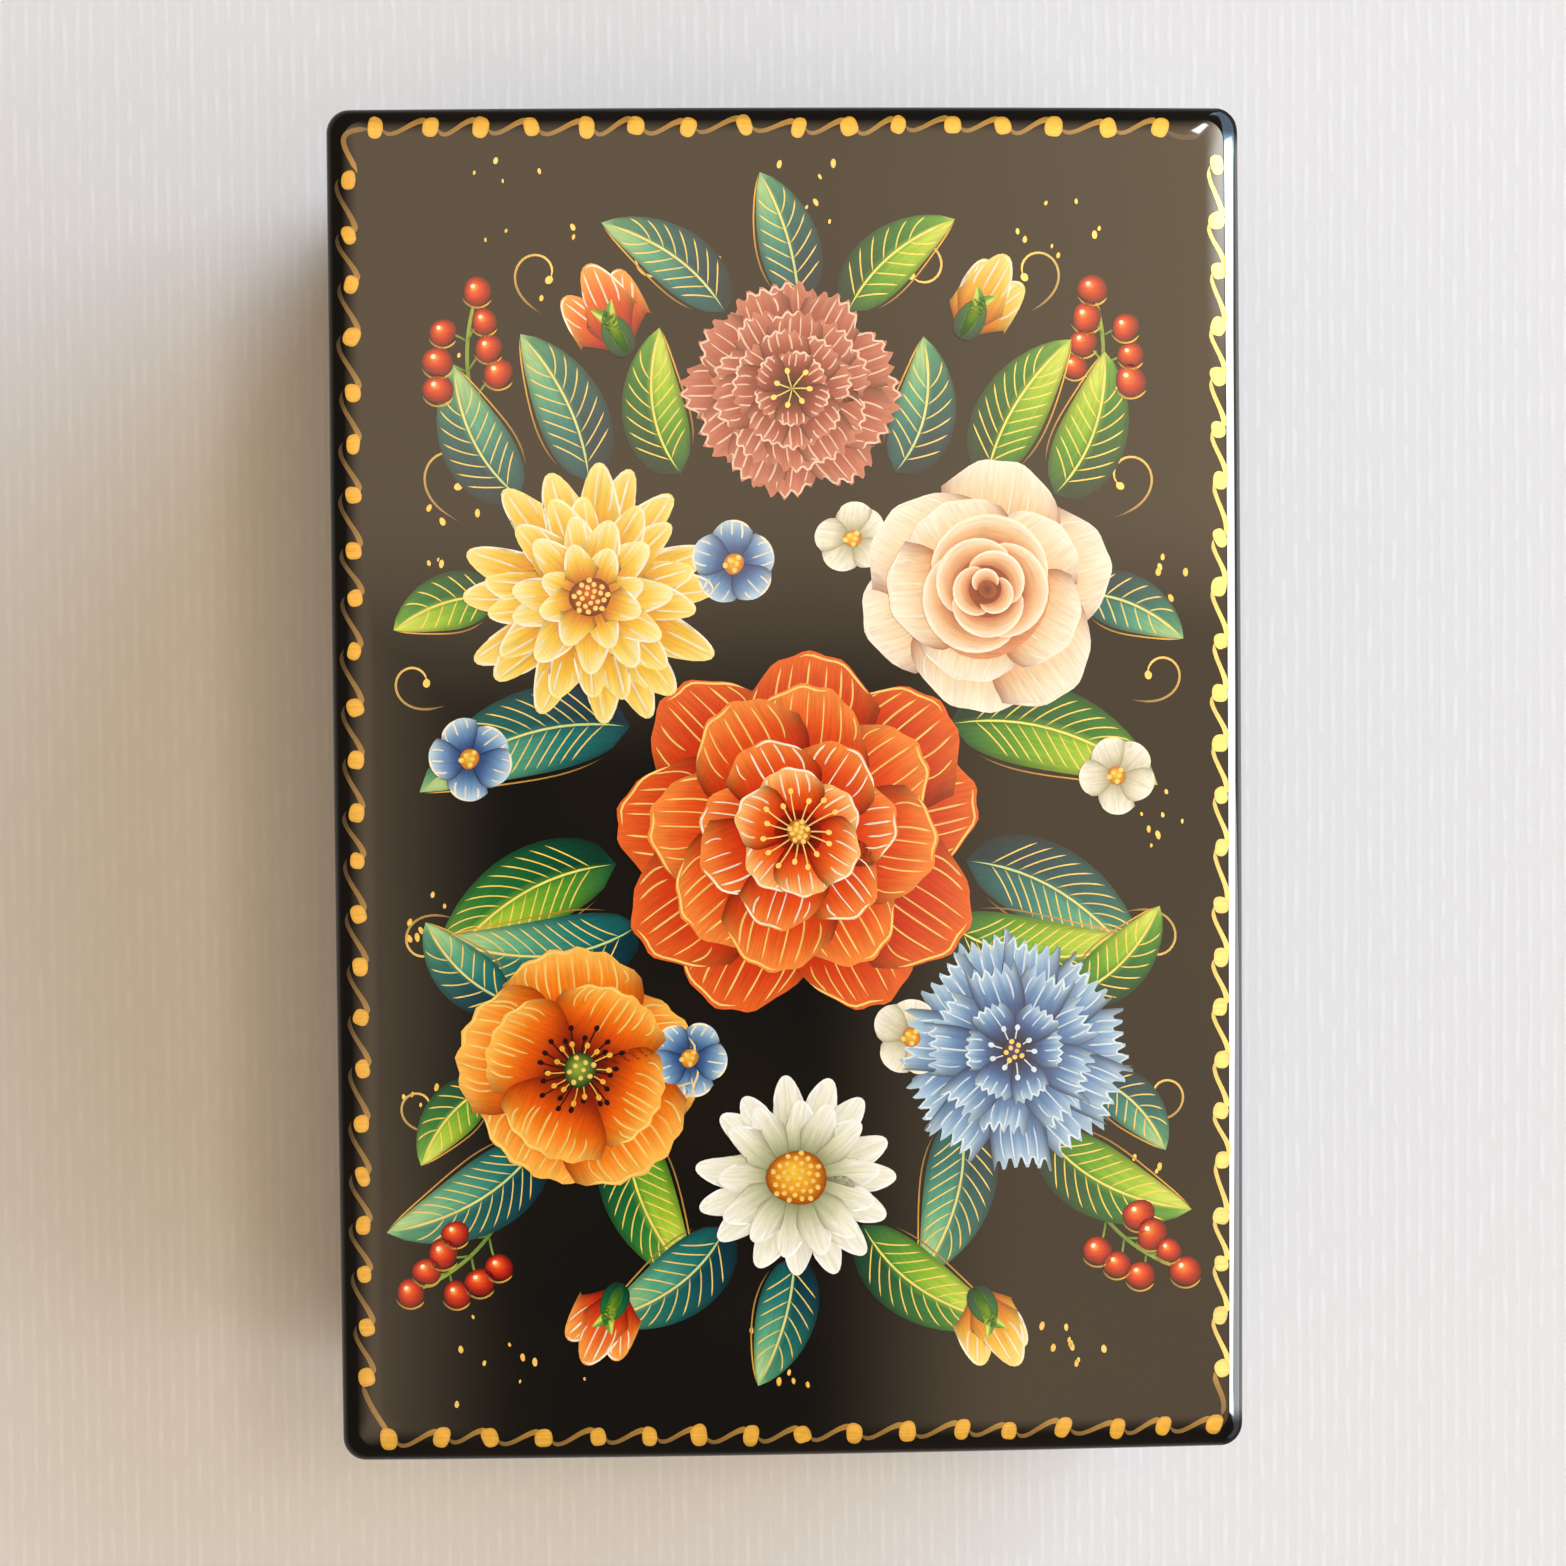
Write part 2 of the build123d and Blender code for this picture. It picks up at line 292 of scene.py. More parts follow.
def brass():
    """Rolled brass, dulled unevenly, with fine draw lines along the pin."""
    nodes = Nodes(bpy.data.materials.new("brass"))
    place = nodes.place()
    tarnish = nodes.remap(nodes.noise(place, 0.8, detail=5.0), 0.35, 0.7)
    nodes.set(Base_Color=nodes.mix(tarnish, rgba(226, 190, 112), rgba(150, 108, 52)))
    lines = nodes.noise(place, 14.0, detail=2.0, stretch=(1, 0.03, 1))
    nodes.set(Metallic=1.0, Roughness=nodes.remap(lines, 0.3, 0.7, 0.22, 0.42))
    nodes.set(Normal=nodes.bump(lines, 0.01))
    return nodes.owner


def miniature_paint():
    """Tempera and bronze powder in the colour that each stroke carries, streaked by the brush.

    The colour's fourth value is the share of bronze powder.
    """
    nodes = Nodes(bpy.data.materials.new("miniature_paint"))
    carried = nodes.node("ShaderNodeVertexColor", layer_name="Paint").outputs
    brush = nodes.node("ShaderNodeUVMap", uv_map="Brush").outputs["UV"]
    hairs = nodes.noise(brush, 5.0 * MM, rough=0.6, stretch=(0.1, 1, 1))
    body = nodes.noise(brush, 0.7 * MM, detail=2.0)
    value = nodes.math("ADD", nodes.math("MULTIPLY", hairs, 0.7), nodes.math("MULTIPLY", body, 0.3))
    shade = nodes.remap(value, 0.3, 0.7, 0.8, 1.17)
    grey = nodes.node("ShaderNodeCombineColor", {0: shade, 1: shade, 2: shade}).outputs[0]
    nodes.set(Base_Color=nodes.mix(1.0, carried["Color"], grey, "MULTIPLY"))
    nodes.set(Metallic=nodes.math("MULTIPLY", carried["Alpha"], 0.3))
    nodes.set(Roughness=nodes.remap(hairs, 0.3, 0.7, 0.3, 0.45), Normal=nodes.bump(hairs, 0.004))
    lacquer_coat(nodes)
    return nodes.owner


MINIATURE_PAINT = miniature_paint()


# Colours of the painting, as linear values and a share of bronze powder


def tempera(*rgb):
    return np.array([*linear(rgb), 0.0])


def bronze(*rgb):
    return np.array([*linear(rgb), 1.0])


def steps(count):
    """Even places from 0 to 1."""
    return np.linspace(0, 1, count)


def stops(*colours, places=None):
    """Colours at places from 0 to 1, even ones unless given. Plain display values are taken as tempera."""
    tones = [c if len(c) == 4 else tempera(*c) for c in colours]
    return list(zip(steps(len(tones)) if places is None else places, tones))


def blend(a, b, t):
    """From a to b as t goes from 0 to 1, for numbers or colours."""
    return np.asarray(a) + (np.asarray(b) - np.asarray(a)) * t


def ramp(t, colour_stops):
    """Colours along t from (place, colour) stops."""
    places, colours = zip(*colour_stops)
    return np.stack([np.interp(t, places, channel) for channel in np.transpose(colours)], -1)


GROUND = tempera(16, 13, 10)
GOLD = bronze(238, 178, 62)
GOLD_LIGHT = bronze(252, 212, 112)
# Gold painted paler where the shine along the lid's right edge falls on it: a painted highlight
GOLD_PAINTED_HIGHLIGHT = bronze(255, 230, 132)
GOLD_THIN = bronze(118, 94, 60)
GOLD_DIM = bronze(70, 58, 42)
CREAM = tempera(252, 240, 206)
STRAW = tempera(252, 214, 116)
STALK = (tempera(30, 100, 44), tempera(170, 190, 70))
STALKLET = (tempera(60, 120, 44), STALK[1])
GRAIN = stops(GOLD_LIGHT, blend(GOLD_LIGHT, GROUND, 0.2))
BERRY = stops((255, 190, 90), (240, 84, 24), (186, 24, 10), (84, 6, 4), places=(0, 0.3, 0.7, 1))

# A leaf's light and dark halves from base to tip, green and blue-green
LEAF_STYLES = (
    (stops((14, 82, 50), (92, 160, 40), (170, 204, 52), (232, 232, 104)),
     stops((4, 40, 34), (10, 84, 50), (40, 122, 48), (120, 176, 60))),
    (stops((10, 70, 74), (28, 118, 110), (96, 172, 130), (196, 222, 140)),
     stops((4, 32, 42), (10, 66, 76), (30, 108, 96), (90, 160, 110))),
)

# The share of the edge colour at the sides of a petal and a leaf, and the power by which it sets in across
# them. A leaf's halves meet this sharply
PETAL_RIM = (0.75, 5)
LEAF_RIM = (0.55, 6)
LEAF_SPLIT = 4


def rimmed(tones, edge, across, rim):
    """Tones that fall off to the edge colour at both sides."""
    return blend(tones, edge, (rim[0] * np.abs(across) ** rim[1])[:, None])


def shaded(colour_stops, edge):
    """A petal's tones: the stops from base to tip, with the edge colour at both sides."""
    return lambda along, across: rimmed(ramp(along, colour_stops), edge, across, PETAL_RIM)


def leaf_tone(light, dark):
    """A leaf's tones: one half light and one half dark, both from base to tip."""

    def tone(along, across):
        lit = np.clip(0.5 + across * LEAF_SPLIT, 0, 1)[:, None]
        return rimmed(blend(ramp(along, dark), ramp(along, light), lit), GROUND, across, LEAF_RIM)

    return tone


# Strokes of paint as thin closed meshes

# Thickness of a layer of paint, how deep a stroke is bedded in the ground, and the span of the brush marks
LAYER = 0.012
BEDDING = 0.02
BRUSH_SPAN = 500

# A drop's length in its half widths, the most it takes of its line, and the points along it
DROP_LENGTH = 2.4
DROP_SHARE = 0.6
DROP_SAMPLES = 8

# How soon a line widens from its pointed ends, and the lengths taken as a pointed row and as none
POINTED = 7
POINT_ROW = 1e-3
NO_LENGTH = 1e-6


def heading(degrees):
    """Directions at angles from X, anticlockwise."""
    angle = np.radians(degrees)
    return np.stack([np.cos(angle), np.sin(angle)], -1)


def bezier(points, t):
    """Points at t along a Bezier curve of any number of control points."""
    p = [np.asarray(q, float) for q in points]
    while len(p) > 1:
        p = [a + (b - a) * t[:, None] for a, b in zip(p, p[1:])]
    return p[0]


def bent(base, angle, length, bend):
    """Control points of a curve out from a base along an angle, whose end is turned by a bend."""
    return [base, base + heading(angle) * length * 0.5, base + heading(angle + bend) * length]


def path_length(points):
    return np.concatenate([[0], np.cumsum(np.hypot(*np.diff(points, axis=0).T))])


def ringed_faces(count, rings):
    """Faces of a middle point and rings of so many points round it."""
    ahead = np.roll(np.arange(count), -1)
    faces = [(0, 1 + k, 1 + ahead[k]) for k in range(count)]
    for low in range(1, 1 + (rings - 1) * count, count):
        faces += [(low + k, low + count + k, low + count + ahead[k], low + ahead[k]) for k in range(count)]
    return faces


def new_mesh(name, points, faces, smooth, rim):
    """A mesh of points in millimetres and faces, some smooth, with sharp edges between points of the rim."""
    mesh = bpy.data.meshes.new(name)
    mesh.from_pydata((points * MM).tolist(), [], [[int(v) for v in face] for face in faces])
    mesh.polygons.foreach_set("use_smooth", np.asarray(smooth, bool))
    ends = np.empty(len(mesh.edges) * 2, int)
    mesh.edges.foreach_get("vertices", ends)
    sharp = mesh.attributes.new("sharp_edge", "BOOLEAN", "EDGE")
    sharp.data.foreach_set("value", rim[ends.reshape(-1, 2)].all(1))
    return mesh


def add_piece(mesh, material, body="lid"):
    """A new piece of the lid or the case with one material."""
    piece = bpy.data.objects.new(mesh.name, mesh)
    bpy.context.scene.collection.objects.link(piece)
    mesh.materials.append(material)
    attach(piece, body)
    return piece


class Paint:
    """One piece of painting on the lid, gathered stroke by stroke and made into a mesh at the end."""

    def __init__(self, name, seed):
        self.name = name
        self.rng = random.Random(seed)
        self.parts = []
        self.count = 0
        self.faces = []
        self.smooth = []

    def jitter(self, amount):
        return self.rng.uniform(-amount, amount)

    def lay(self, xy, colours, brush, loop, tops, layer):
        """Lays a stroke down: tops at the layer's height, walls from the loop round them, one face below."""
        around = xy[loop]
        ahead = np.roll(around, -1, axis=0)
        if (around[:, 0] * ahead[:, 1] - ahead[:, 0] * around[:, 1]).sum() < 0:
            loop = loop[::-1]
            tops = [f[::-1] for f in tops]
        both = np.concatenate([np.arange(len(xy)), loop])
        points = np.concatenate([on_lid(xy, layer * LAYER), on_lid(xy[loop], -BEDDING)])
        brush = brush + [self.rng.uniform(0, BRUSH_SPAN), self.rng.uniform(0, BRUSH_SPAN)]
        rim = np.isin(np.arange(len(both)), loop)
        self.parts.append((points, colours[both], brush[both], rim))
        first, below, n = self.count, self.count + len(xy), len(loop)
        self.count += len(both)
        self.faces += [[first + k for k in f] for f in tops]
        for k in range(n):
            after = (k + 1) % n
            self.faces.append((below + k, below + after, first + loop[after], first + loop[k]))
        self.faces.append(range(below + n - 1, below - 1, -1))
        self.smooth += [True] * len(tops) + [False] * (n + 1)

    def patch(self, rows, tones, layer):
        """A stroke from rows of points across it; a row of one point is a pointed end."""
        starts = np.concatenate([[0], np.cumsum([len(r) for r in rows])])
        index = [np.arange(a, b) for a, b in zip(starts, starts[1:])]
        tops = []
        for low, high in zip(index, index[1:]):
            wide = max(len(low), len(high))
            low, high = np.resize(low, wide), np.resize(high, wide)
            corners = zip(low, low[1:], high[1:], high)
            tops += [tuple(dict.fromkeys(face)) for face in corners]
        right = [r[-1] for r in index[1:-1]]
        left = [r[0] for r in index[-2:0:-1]]
        loop = np.array([*index[0], *right, *index[-1][::-1], *left])
        middles = np.array([r.mean(0) for r in rows])
        brush = []
        for row, middle, distance in zip(rows, middles, path_length(middles)):
            line = row[-1] - row[0]
            offset = (row - middle) @ line / max(np.hypot(*line), NO_LENGTH)
            brush.append(np.stack([np.full(len(row), distance), offset], -1))
        self.lay(np.concatenate(rows), np.concatenate(tones), np.concatenate(brush), loop, tops, layer)

    def sheet(self, at, tone, layer, rows=11, columns=9):
        """A stroke filled over its own coordinates: along from 0 to 1, across from -1 to 1."""
        across = np.linspace(-1, 1, columns)
        points = []
        tones = []
        for share in steps(rows):
            along = np.full(columns, share)
            row = at(along, across)
            pointed = np.ptp(row, axis=0).max() < POINT_ROW
            points.append(row[:1] if pointed else row)
            tones.append(tone(along[:1], np.zeros(1)) if pointed else tone(along, across))
        self.patch(points, tones, layer)

    def line(self, points, half_width, tones, layer, drop=0.0, profile=None, count=12, columns=2):
        """A thin line, pointed at both ends, from one tone to another, with a drop of paint near its end."""
        arc = path_length(points)
        length = arc[-1]
        bead = min(DROP_LENGTH * drop, DROP_SHARE * length)
        at = np.linspace(0, length - bead, count)
        if drop:
            swing = np.linspace(0, math.pi, DROP_SAMPLES)[1:]
            at = np.concatenate([at, length - bead * (0.5 + 0.5 * np.cos(swing))])
        spine = np.stack([np.interp(at, arc, points[:, k]) for k in range(2)], -1)
        t = at / length
        widths = half_width * (profile(t) if profile else np.minimum(1, POINTED * np.minimum(t, 1 - t)))
        if drop:
            into = np.clip((length - at) / bead, 0, 1)
            widths = np.maximum(widths, drop * 2 * np.sqrt(into * (1 - into)))
        widths[[0, -1]] = 0
        ahead = np.gradient(spine, axis=0)
        ahead /= np.maximum(np.linalg.norm(ahead, axis=1, keepdims=True), NO_LENGTH)
        side = np.stack([-ahead[:, 1], ahead[:, 0]], -1) * widths[:, None]
        across = np.linspace(-1, 1, columns)[:, None]
        rows = [p + across * s if w > 0 else p[None] for p, s, w in zip(spine, side, widths)]
        self.patch(rows, [np.tile(blend(*tones, k), (len(row), 1)) for k, row in zip(t, rows)], layer)

    def dot(self, centre, radius, colour_stops, layer, squash=1.0, angle=0.0, wobble=0.06, sides=16,
            light=(0, 0), square=0.0, rings=3):
        """A round or squarish touch of the brush, coloured from its middle, which light moves, in radii."""
        spin = self.rng.uniform(0, 2 * math.pi)
        a = np.linspace(0, 2 * math.pi, sides, endpoint=False)
        reach = 1 + wobble * np.sin(2 * a + spin) + 0.5 * wobble * np.sin(3 * a - spin)
        reach = (reach - square * np.cos(4 * a)) * radius
        c, s = heading(angle)
        turn = np.array([[c, s], [-s, c]])
        circle = np.stack([np.cos(a) * reach, np.sin(a) * reach * squash], -1) @ turn
        middle = np.array(light) * radius
        shares = steps(rings + 1 + int(radius))[1:]
        outlines = [centre + middle * (1 - share) + circle * share for share in shares]
        xy = np.concatenate([[centre + middle], *outlines])
        tones = ramp(np.concatenate([[0], np.repeat(shares, sides)]), colour_stops)
        loop = np.arange(len(xy) - sides, len(xy))
        self.lay(xy, tones, xy - centre, loop, ringed_faces(sides, len(outlines)), layer)

    def finish(self):
        """Makes the mesh and lets it ride on the lid."""
        points, colours, brush, rim = [np.concatenate(part) for part in zip(*self.parts)]
        mesh = new_mesh(self.name, points, self.faces, self.smooth, rim)
        carried = mesh.color_attributes.new("Paint", "FLOAT_COLOR", "POINT")
        carried.data.foreach_set("color", colours.astype(np.float32).ravel())
        corners = np.empty(len(mesh.loops), int)
        mesh.loops.foreach_get("vertex_index", corners)
        marks = brush[corners].astype(np.float32)
        mesh.uv_layers.new(name="Brush").uv.foreach_set("vector", marks.ravel())
        mesh.update()
        add_piece(mesh, MINIATURE_PAINT)


# The walls at the joint of lid and case: the radius of their eased edges and the angles at which these are
# cut, the angle from which an edge is sharp, and the most that an upright face's normal rises
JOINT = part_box("case_walls")[1].z / MM
EASE = 0.16
EASE_ANGLES = (0, 45, 90)
SHARP_ANGLE = 20
UPRIGHT = 0.2


def outer_normals(mesh):
    """The outline's own direction out at the corners of the upright outer faces, and zero elsewhere."""
    normals = np.zeros((len(mesh.loops), 3))
    for face in mesh.polygons:
        if abs(face.normal.z) > UPRIGHT:
            continue
        for loop in face.loop_indices:
            x, y = mesh.vertices[mesh.loops[loop].vertex_index].co.xy / MM
            inset, out_x, out_y = edge_place(x, y)
            if inset < SAME_PLACE:
                normals[loop] = out_x, out_y, 0
    return normals


def eased_wall(node, body, material, into):
    """A wound wall whose outer edge at the joint is rubbed round, so that the joint shows as a fine groove.

    Into is 1 where the wall lies above the joint, and -1 below it.
    """
    work = bmesh.new()
    work.from_mesh(NODES[node].data)
    bmesh.ops.remove_doubles(work, verts=work.verts, dist=SAME_PLACE * MM)
    for angle in EASE_ANGLES:
        pull = EASE * (1 - math.cos(math.radians(angle)))
        level = JOINT + into * EASE * (1 - math.sin(math.radians(angle)))
        if level != JOINT:
            everything = [*work.verts, *work.edges, *work.faces]
            bmesh.ops.bisect_plane(work, geom=everything, plane_co=(0, 0, level * MM), plane_no=(0, 0, 1))
        for vert in work.verts:
            x, y, z = vert.co / MM
            inset, out_x, out_y = edge_place(x, y)
            if abs(z - level) < SAME_PLACE and inset < SAME_PLACE:
                vert.co.x -= out_x * pull * MM
                vert.co.y -= out_y * pull * MM
    mesh = bpy.data.meshes.new(f"{node}_eased")
    work.to_mesh(mesh)
    work.free()
    mesh.polygons.foreach_set("use_smooth", np.ones(len(mesh.polygons), bool))
    mesh.set_sharp_from_angle(angle=math.radians(SHARP_ANGLE))
    mesh.normals_split_custom_set(outer_normals(mesh))
    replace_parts(add_piece(mesh, material, body), node)


# The lid's board: points along a short and a long side and round a corner, rings from its middle to its
# edge, and the height of its side from which it is polished
SIDE_POINTS = (28, 42)
CORNER_POINTS = 8
SHRINK_STEPS = 15
POLISHED_FROM = 2.2

# How far behind the outer faces the red starts in the walls and on the boards, how high it reaches on the
# lid's board, and how high it starts on the base
WALL_RED = 1.2
BOARD_RED = 3.4
LID_RED = 0.5
BASE_RED = 2.5


def ring_points(inset):
    """Points round the lid at an inset of the edge's profile, anticlockwise from the corner at +X, +Y."""
    signs = np.array([(1, 1), (-1, 1), (-1, -1), (1, -1)])
    shares = np.stack(side_shares(*signs.T), -1)
    centres = signs * (np.array([HALF_WIDTH, HALF_LENGTH]) - PLAN_CORNER - inset * shares)
    points = []
    for corner in range(4):
        out = PLAN_CORNER * heading(np.linspace(90 * corner, 90 * corner + 90, CORNER_POINTS + 1))
        arc = centres[corner] + out
        end = centres[(corner + 1) % 4] + out[-1]
        share = steps(SIDE_POINTS[corner % 2] + 1)[1:-1, None]
        points += [arc, arc[-1] + (end - arc[-1]) * share]
    return np.concatenate(points)


def lid_board():
    """The crowned board, black above and red below, with a rubbed and polished edge."""
    rim = ring_points(EDGE_INSET[0])
    count = len(rim)
    outlines = [rim * share for share in steps(SHRINK_STEPS)[1:-1]]
    outlines += [ring_points(inset) for inset in EDGE_INSET]
    rings = [np.column_stack([xy, lid_height(xy[:, 0], xy[:, 1])]) for xy in outlines]
    rings.append(np.column_stack([outlines[-1], np.full(count, PANEL_UNDER)]))
    points = np.concatenate([[(0, 0, PANEL_TOP)], *rings])
    faces = ringed_faces(count, len(rings))
    order = np.arange(len(faces) + 1)
    faces.append(range(len(points) - 1, len(points) - 1 - count, -1))
    at_bottom = np.arange(len(points)) >= len(points) - count
    mesh = new_mesh("lid_board", points, faces, order < order[-1], at_bottom)
    middles = np.array([points[list(f)].mean(0) for f in faces])
    in_band = order >= count * (SHRINK_STEPS - 1 + BAND_SEGMENT * EDGE_SAMPLES)
    in_band &= middles[:, 2] > PANEL_UNDER + POLISHED_FROM
    at_front = middles[:, 0] > HALF_WIDTH - PLAN_CORNER
    mesh.polygons.foreach_set("material_index", (in_band & at_front).astype(int))
    mesh.update()
    board = lacquer("board_lacquer", two_grounds(BOARD_RED, high=PANEL_UNDER + LID_RED))
    piece = add_piece(mesh, board)
    mesh.materials.append(polished_lacquer())
    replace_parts(piece, "lid_panel")


# Gold border along the lid's edges

# Half the width and half the height of a dot, in a row and in a column
ROW_DOT = (0.54, 0.69)
COLUMN_DOT = (0.51, 0.62)

# How a tail leaves its dot, towards the run's left and along it, and how far to the left it bows
ROW_BOW = (-0.05, 0.42, 1.3)
COLUMN_BOW = (0.66, -0.15, 1.45)
RIGHT_BOW = (0.42, 0.05, 0.85)

# How far ahead a tail bows, and how it swings back and joins the next dot, to the right and behind
BOW_AHEAD = 0.85
SWING_BACK = (0.65, 1.15)
JOIN_BACK = (0.42, 0.15)

# How uneven the dots are in place, size and angle
DOT_PLACE = 0.2
DOT_SIZE = 0.1
DOT_ANGLE = 22

# Half the width of a tail and of one that turns a corner, how much less gold a tail starts with, the points
# of its curve, and its mesh
TAIL_WIDTH = 0.18
CORNER_WIDTH = 0.17
TAIL_FADE = 0.4
TAIL_CURVE = steps(24)
TAIL_MESH = dict(count=30, columns=5)

# Layers of fine gold, under the leaves and flowers, and of the border's dots
GOLD_LAYER = 1.5
DOT_LAYER = 2.5

# Each run's first and last dot, the number and size of its dots, its tails' bow, its gold and the share of
# that where a tail ends, and the curve and tones of the tail that turns the corner
CORNER_GOLD = (GOLD_THIN, blend(GOLD_THIN, GOLD, 0.4))
BORDER = {
    "border_top": (
        (-26.7, 43.2), (24.7, 43.1), 16, ROW_DOT, ROW_BOW, GOLD, 0.42,
        [(-27.0, 43.1), (-30.2, 43.2), (-28.2, 41.4), (-27.9, 40.2)], CORNER_GOLD),
    "border_bottom": (
        (-26.9, -42.9), (28.1, -42.9), 17, ROW_DOT, ROW_BOW, GOLD, 0.42,
        [(28.4, -42.3), (29.0, -41.2), (27.9, -40.3), (27.95, -39.3)], CORNER_GOLD),
    "border_left": (
        (-28.45, 39.7), (-28.3, -38.9), 24, COLUMN_DOT, COLUMN_BOW, GOLD, 0.28,
        [(-28.6, -39.2), (-28.3, -40.6), (-27.3, -41.8), (-26.9, -42.6)], CORNER_GOLD),
    # The right column's dots are painted pale and its tails full gold: a painted highlight from the shine
    # along that edge
    "border_right": (
        (28.5, 40.5), (28.4, -39.1), 24, COLUMN_DOT, RIGHT_BOW, GOLD_PAINTED_HIGHLIGHT, 1.0,
        [(25.1, 42.9), (25.9, 42.2), (26.8, 42.4), (27.5, 42.7)], (GOLD_DIM, GOLD_DIM)),
}


def tail_profile(t):
    """A tail starts thin and ends broad, where it runs into the next dot."""
    return np.minimum(1, 6 * t) * (0.75 + 0.45 * t ** 3) * np.minimum(1, 12 * (1 - t))


def border_run(paint, start, end, count, dot, bow, gold, tail_gold, corner, corner_tones):
    """Dots along one edge, joined by S-shaped tails, and the tail that turns the corner."""
    run = np.subtract(end, start)
    along = run / np.hypot(*run)
    side = np.array([along[1], -along[0]])
    pitch = np.hypot(*run) / (count - 1)
    dots = []
    for i in range(count):
        ahead = along * (pitch * i + paint.jitter(DOT_PLACE))
        dots.append(start + ahead + side * paint.jitter(DOT_PLACE / 2))
    tail_tones = [blend(GOLD_THIN, gold, tail_gold - fade) for fade in (TAIL_FADE, 0)]
    for here, following in zip(dots, dots[1:]):
        control = [
            here + side * bow[0] + along * bow[1],
            here + side * (bow[2] + paint.jitter(DOT_PLACE)) + along * BOW_AHEAD,
            following - side * (SWING_BACK[0] + paint.jitter(DOT_PLACE)) - along * SWING_BACK[1],
            following - side * JOIN_BACK[0] - along * JOIN_BACK[1],
        ]
        curve = bezier(control, TAIL_CURVE)
        paint.line(curve, TAIL_WIDTH, tail_tones, GOLD_LAYER, profile=tail_profile, **TAIL_MESH)
    wide, tall = dot
    tones = stops(gold, blend(gold, GOLD_LIGHT, 0.2), blend(gold, GOLD_THIN, 0.2), places=(0, 0.6, 1))
    for here in dots:
        size = tall * (1 + paint.jitter(DOT_SIZE))
        squash = wide * (1 + paint.jitter(DOT_SIZE)) / size
        paint.dot(here, size, tones, DOT_LAYER, squash=squash, angle=90 + paint.jitter(DOT_ANGLE),
                  wobble=0.05, square=0.04, sides=24, rings=6)
    paint.line(bezier(corner, TAIL_CURVE), CORNER_WIDTH, corner_tones, GOLD_LAYER, **TAIL_MESH)


# Petals and flowers

# How uneven petals are: in angle over the whole ring, in reach, in width and in lean
PETAL_SWAY = 20
PETAL_REACH = 0.05
PETAL_WIDTH = 0.06
PETAL_LEAN = 0.12

# How broad a petal is at its base, and the share of its length at which it is full
PETAL_BASE = 0.22
PETAL_FULL = 0.72

# Hairs on a petal, by how far across they spread, where they end and their half width, and the light at its
# tip
HAIR_SPREAD = 0.78
HAIR_END = 0.95
HAIR_WIDTH = 0.055
TIP_PLACE = 0.975
TIP_WIDTH = 0.07

# Each next grain or fold turns by this angle
GOLDEN_ANGLE = 137.5


def petal(paint, centre, angle, size, tone, layer, tip, ruffle, waves):
    """A broad petal out along an angle, of a start, reach and width.

    Gives back the function from its own coordinates, along from 0 to 1 and across from -1 to 1, to the lid.
    """
    start, reach, width = size
    ahead, side = heading(angle), heading(angle + 90)
    phase = paint.rng.uniform(0, 2 * math.pi)
    lean = paint.jitter(PETAL_LEAN)

    def at(along, across):
        drop = tip * along ** 2 * np.abs(across) ** 2.3
        wave = ruffle * along ** 3 * np.sin(waves * math.pi * across + phase)
        out = start + (reach - start) * (along - drop + wave)
        opening = np.sin(np.minimum(along / PETAL_FULL, 1) * math.pi / 2)
        spread = width / 2 * across * (PETAL_BASE + (1 - PETAL_BASE) * opening) + lean * reach * along ** 2
        return centre + out[:, None] * ahead + spread[:, None] * side

    paint.sheet(at, tone, layer, columns=11 + 2 * waves)
    return at


def petal_hairs(paint, at, colour, count, layer, span=0.42):
    """Fine strokes from a petal's tip towards its base, and a light along part of its tip."""
    tones = (blend(colour, GROUND, 0.25), colour)
    for k in range(count):
        v = HAIR_SPREAD * (2 * (k + 0.5) / count - 1) + paint.jitter(0.06)
        inner = HAIR_END - span * (1 - 0.5 * abs(v)) * (1 + paint.jitter(0.3))
        along = np.linspace(inner, HAIR_END, 9)
        across = v * (1 + 0.08 * np.sin(np.linspace(0, math.pi, 9)))
        paint.line(at(along, across), HAIR_WIDTH + paint.jitter(0.015), tones, layer, count=7)
    across = np.linspace(-0.15, 0.85, 12) * paint.rng.choice((-1, 1))
    paint.line(at(np.full(12, TIP_PLACE), across), TIP_WIDTH, (colour, colour), layer)


def petal_rings(paint, centre, edge, rings):
    """Rings of petals with one edge colour.

    Each ring has a layer, a number of petals, their start, reach, width and tones, how far their tips round
    off, how deep and how often they ruffle, the colour and number of their hairs, and the ring's turn.
    """
    for layer, count, start, reach, width, tones, tip, ruffle, waves, hair, hairs, turn in rings:
        tone = shaded(tones, edge)
        for i in range(count):
            angle = turn + 360 * i / count + paint.jitter(PETAL_SWAY / count)
            far = reach * (1 + paint.jitter(PETAL_REACH))
            size = (start, far, width * (1 + paint.jitter(PETAL_WIDTH)))
            level = layer + 0.4 * (i % 3)
            at = petal(paint, centre, angle, size, tone, level, tip, ruffle, waves)
            petal_hairs(paint, at, hair, hairs, level + 0.2)


def seed_head(paint, centre, radius, colours, grains, layer):
    """A flower's domed middle, with grains of gold in a spiral."""
    paint.dot(centre, radius, colours, layer, sides=24, light=(-0.15, 0.25))
    for k in range(grains):
        out = radius * 0.9 * math.sqrt((k + 0.5) / grains)
        here = centre + heading(GOLDEN_ANGLE * k) * out
        paint.dot(here, 0.15 + 0.04 * out / radius, GRAIN, layer + 0.5, sides=8)


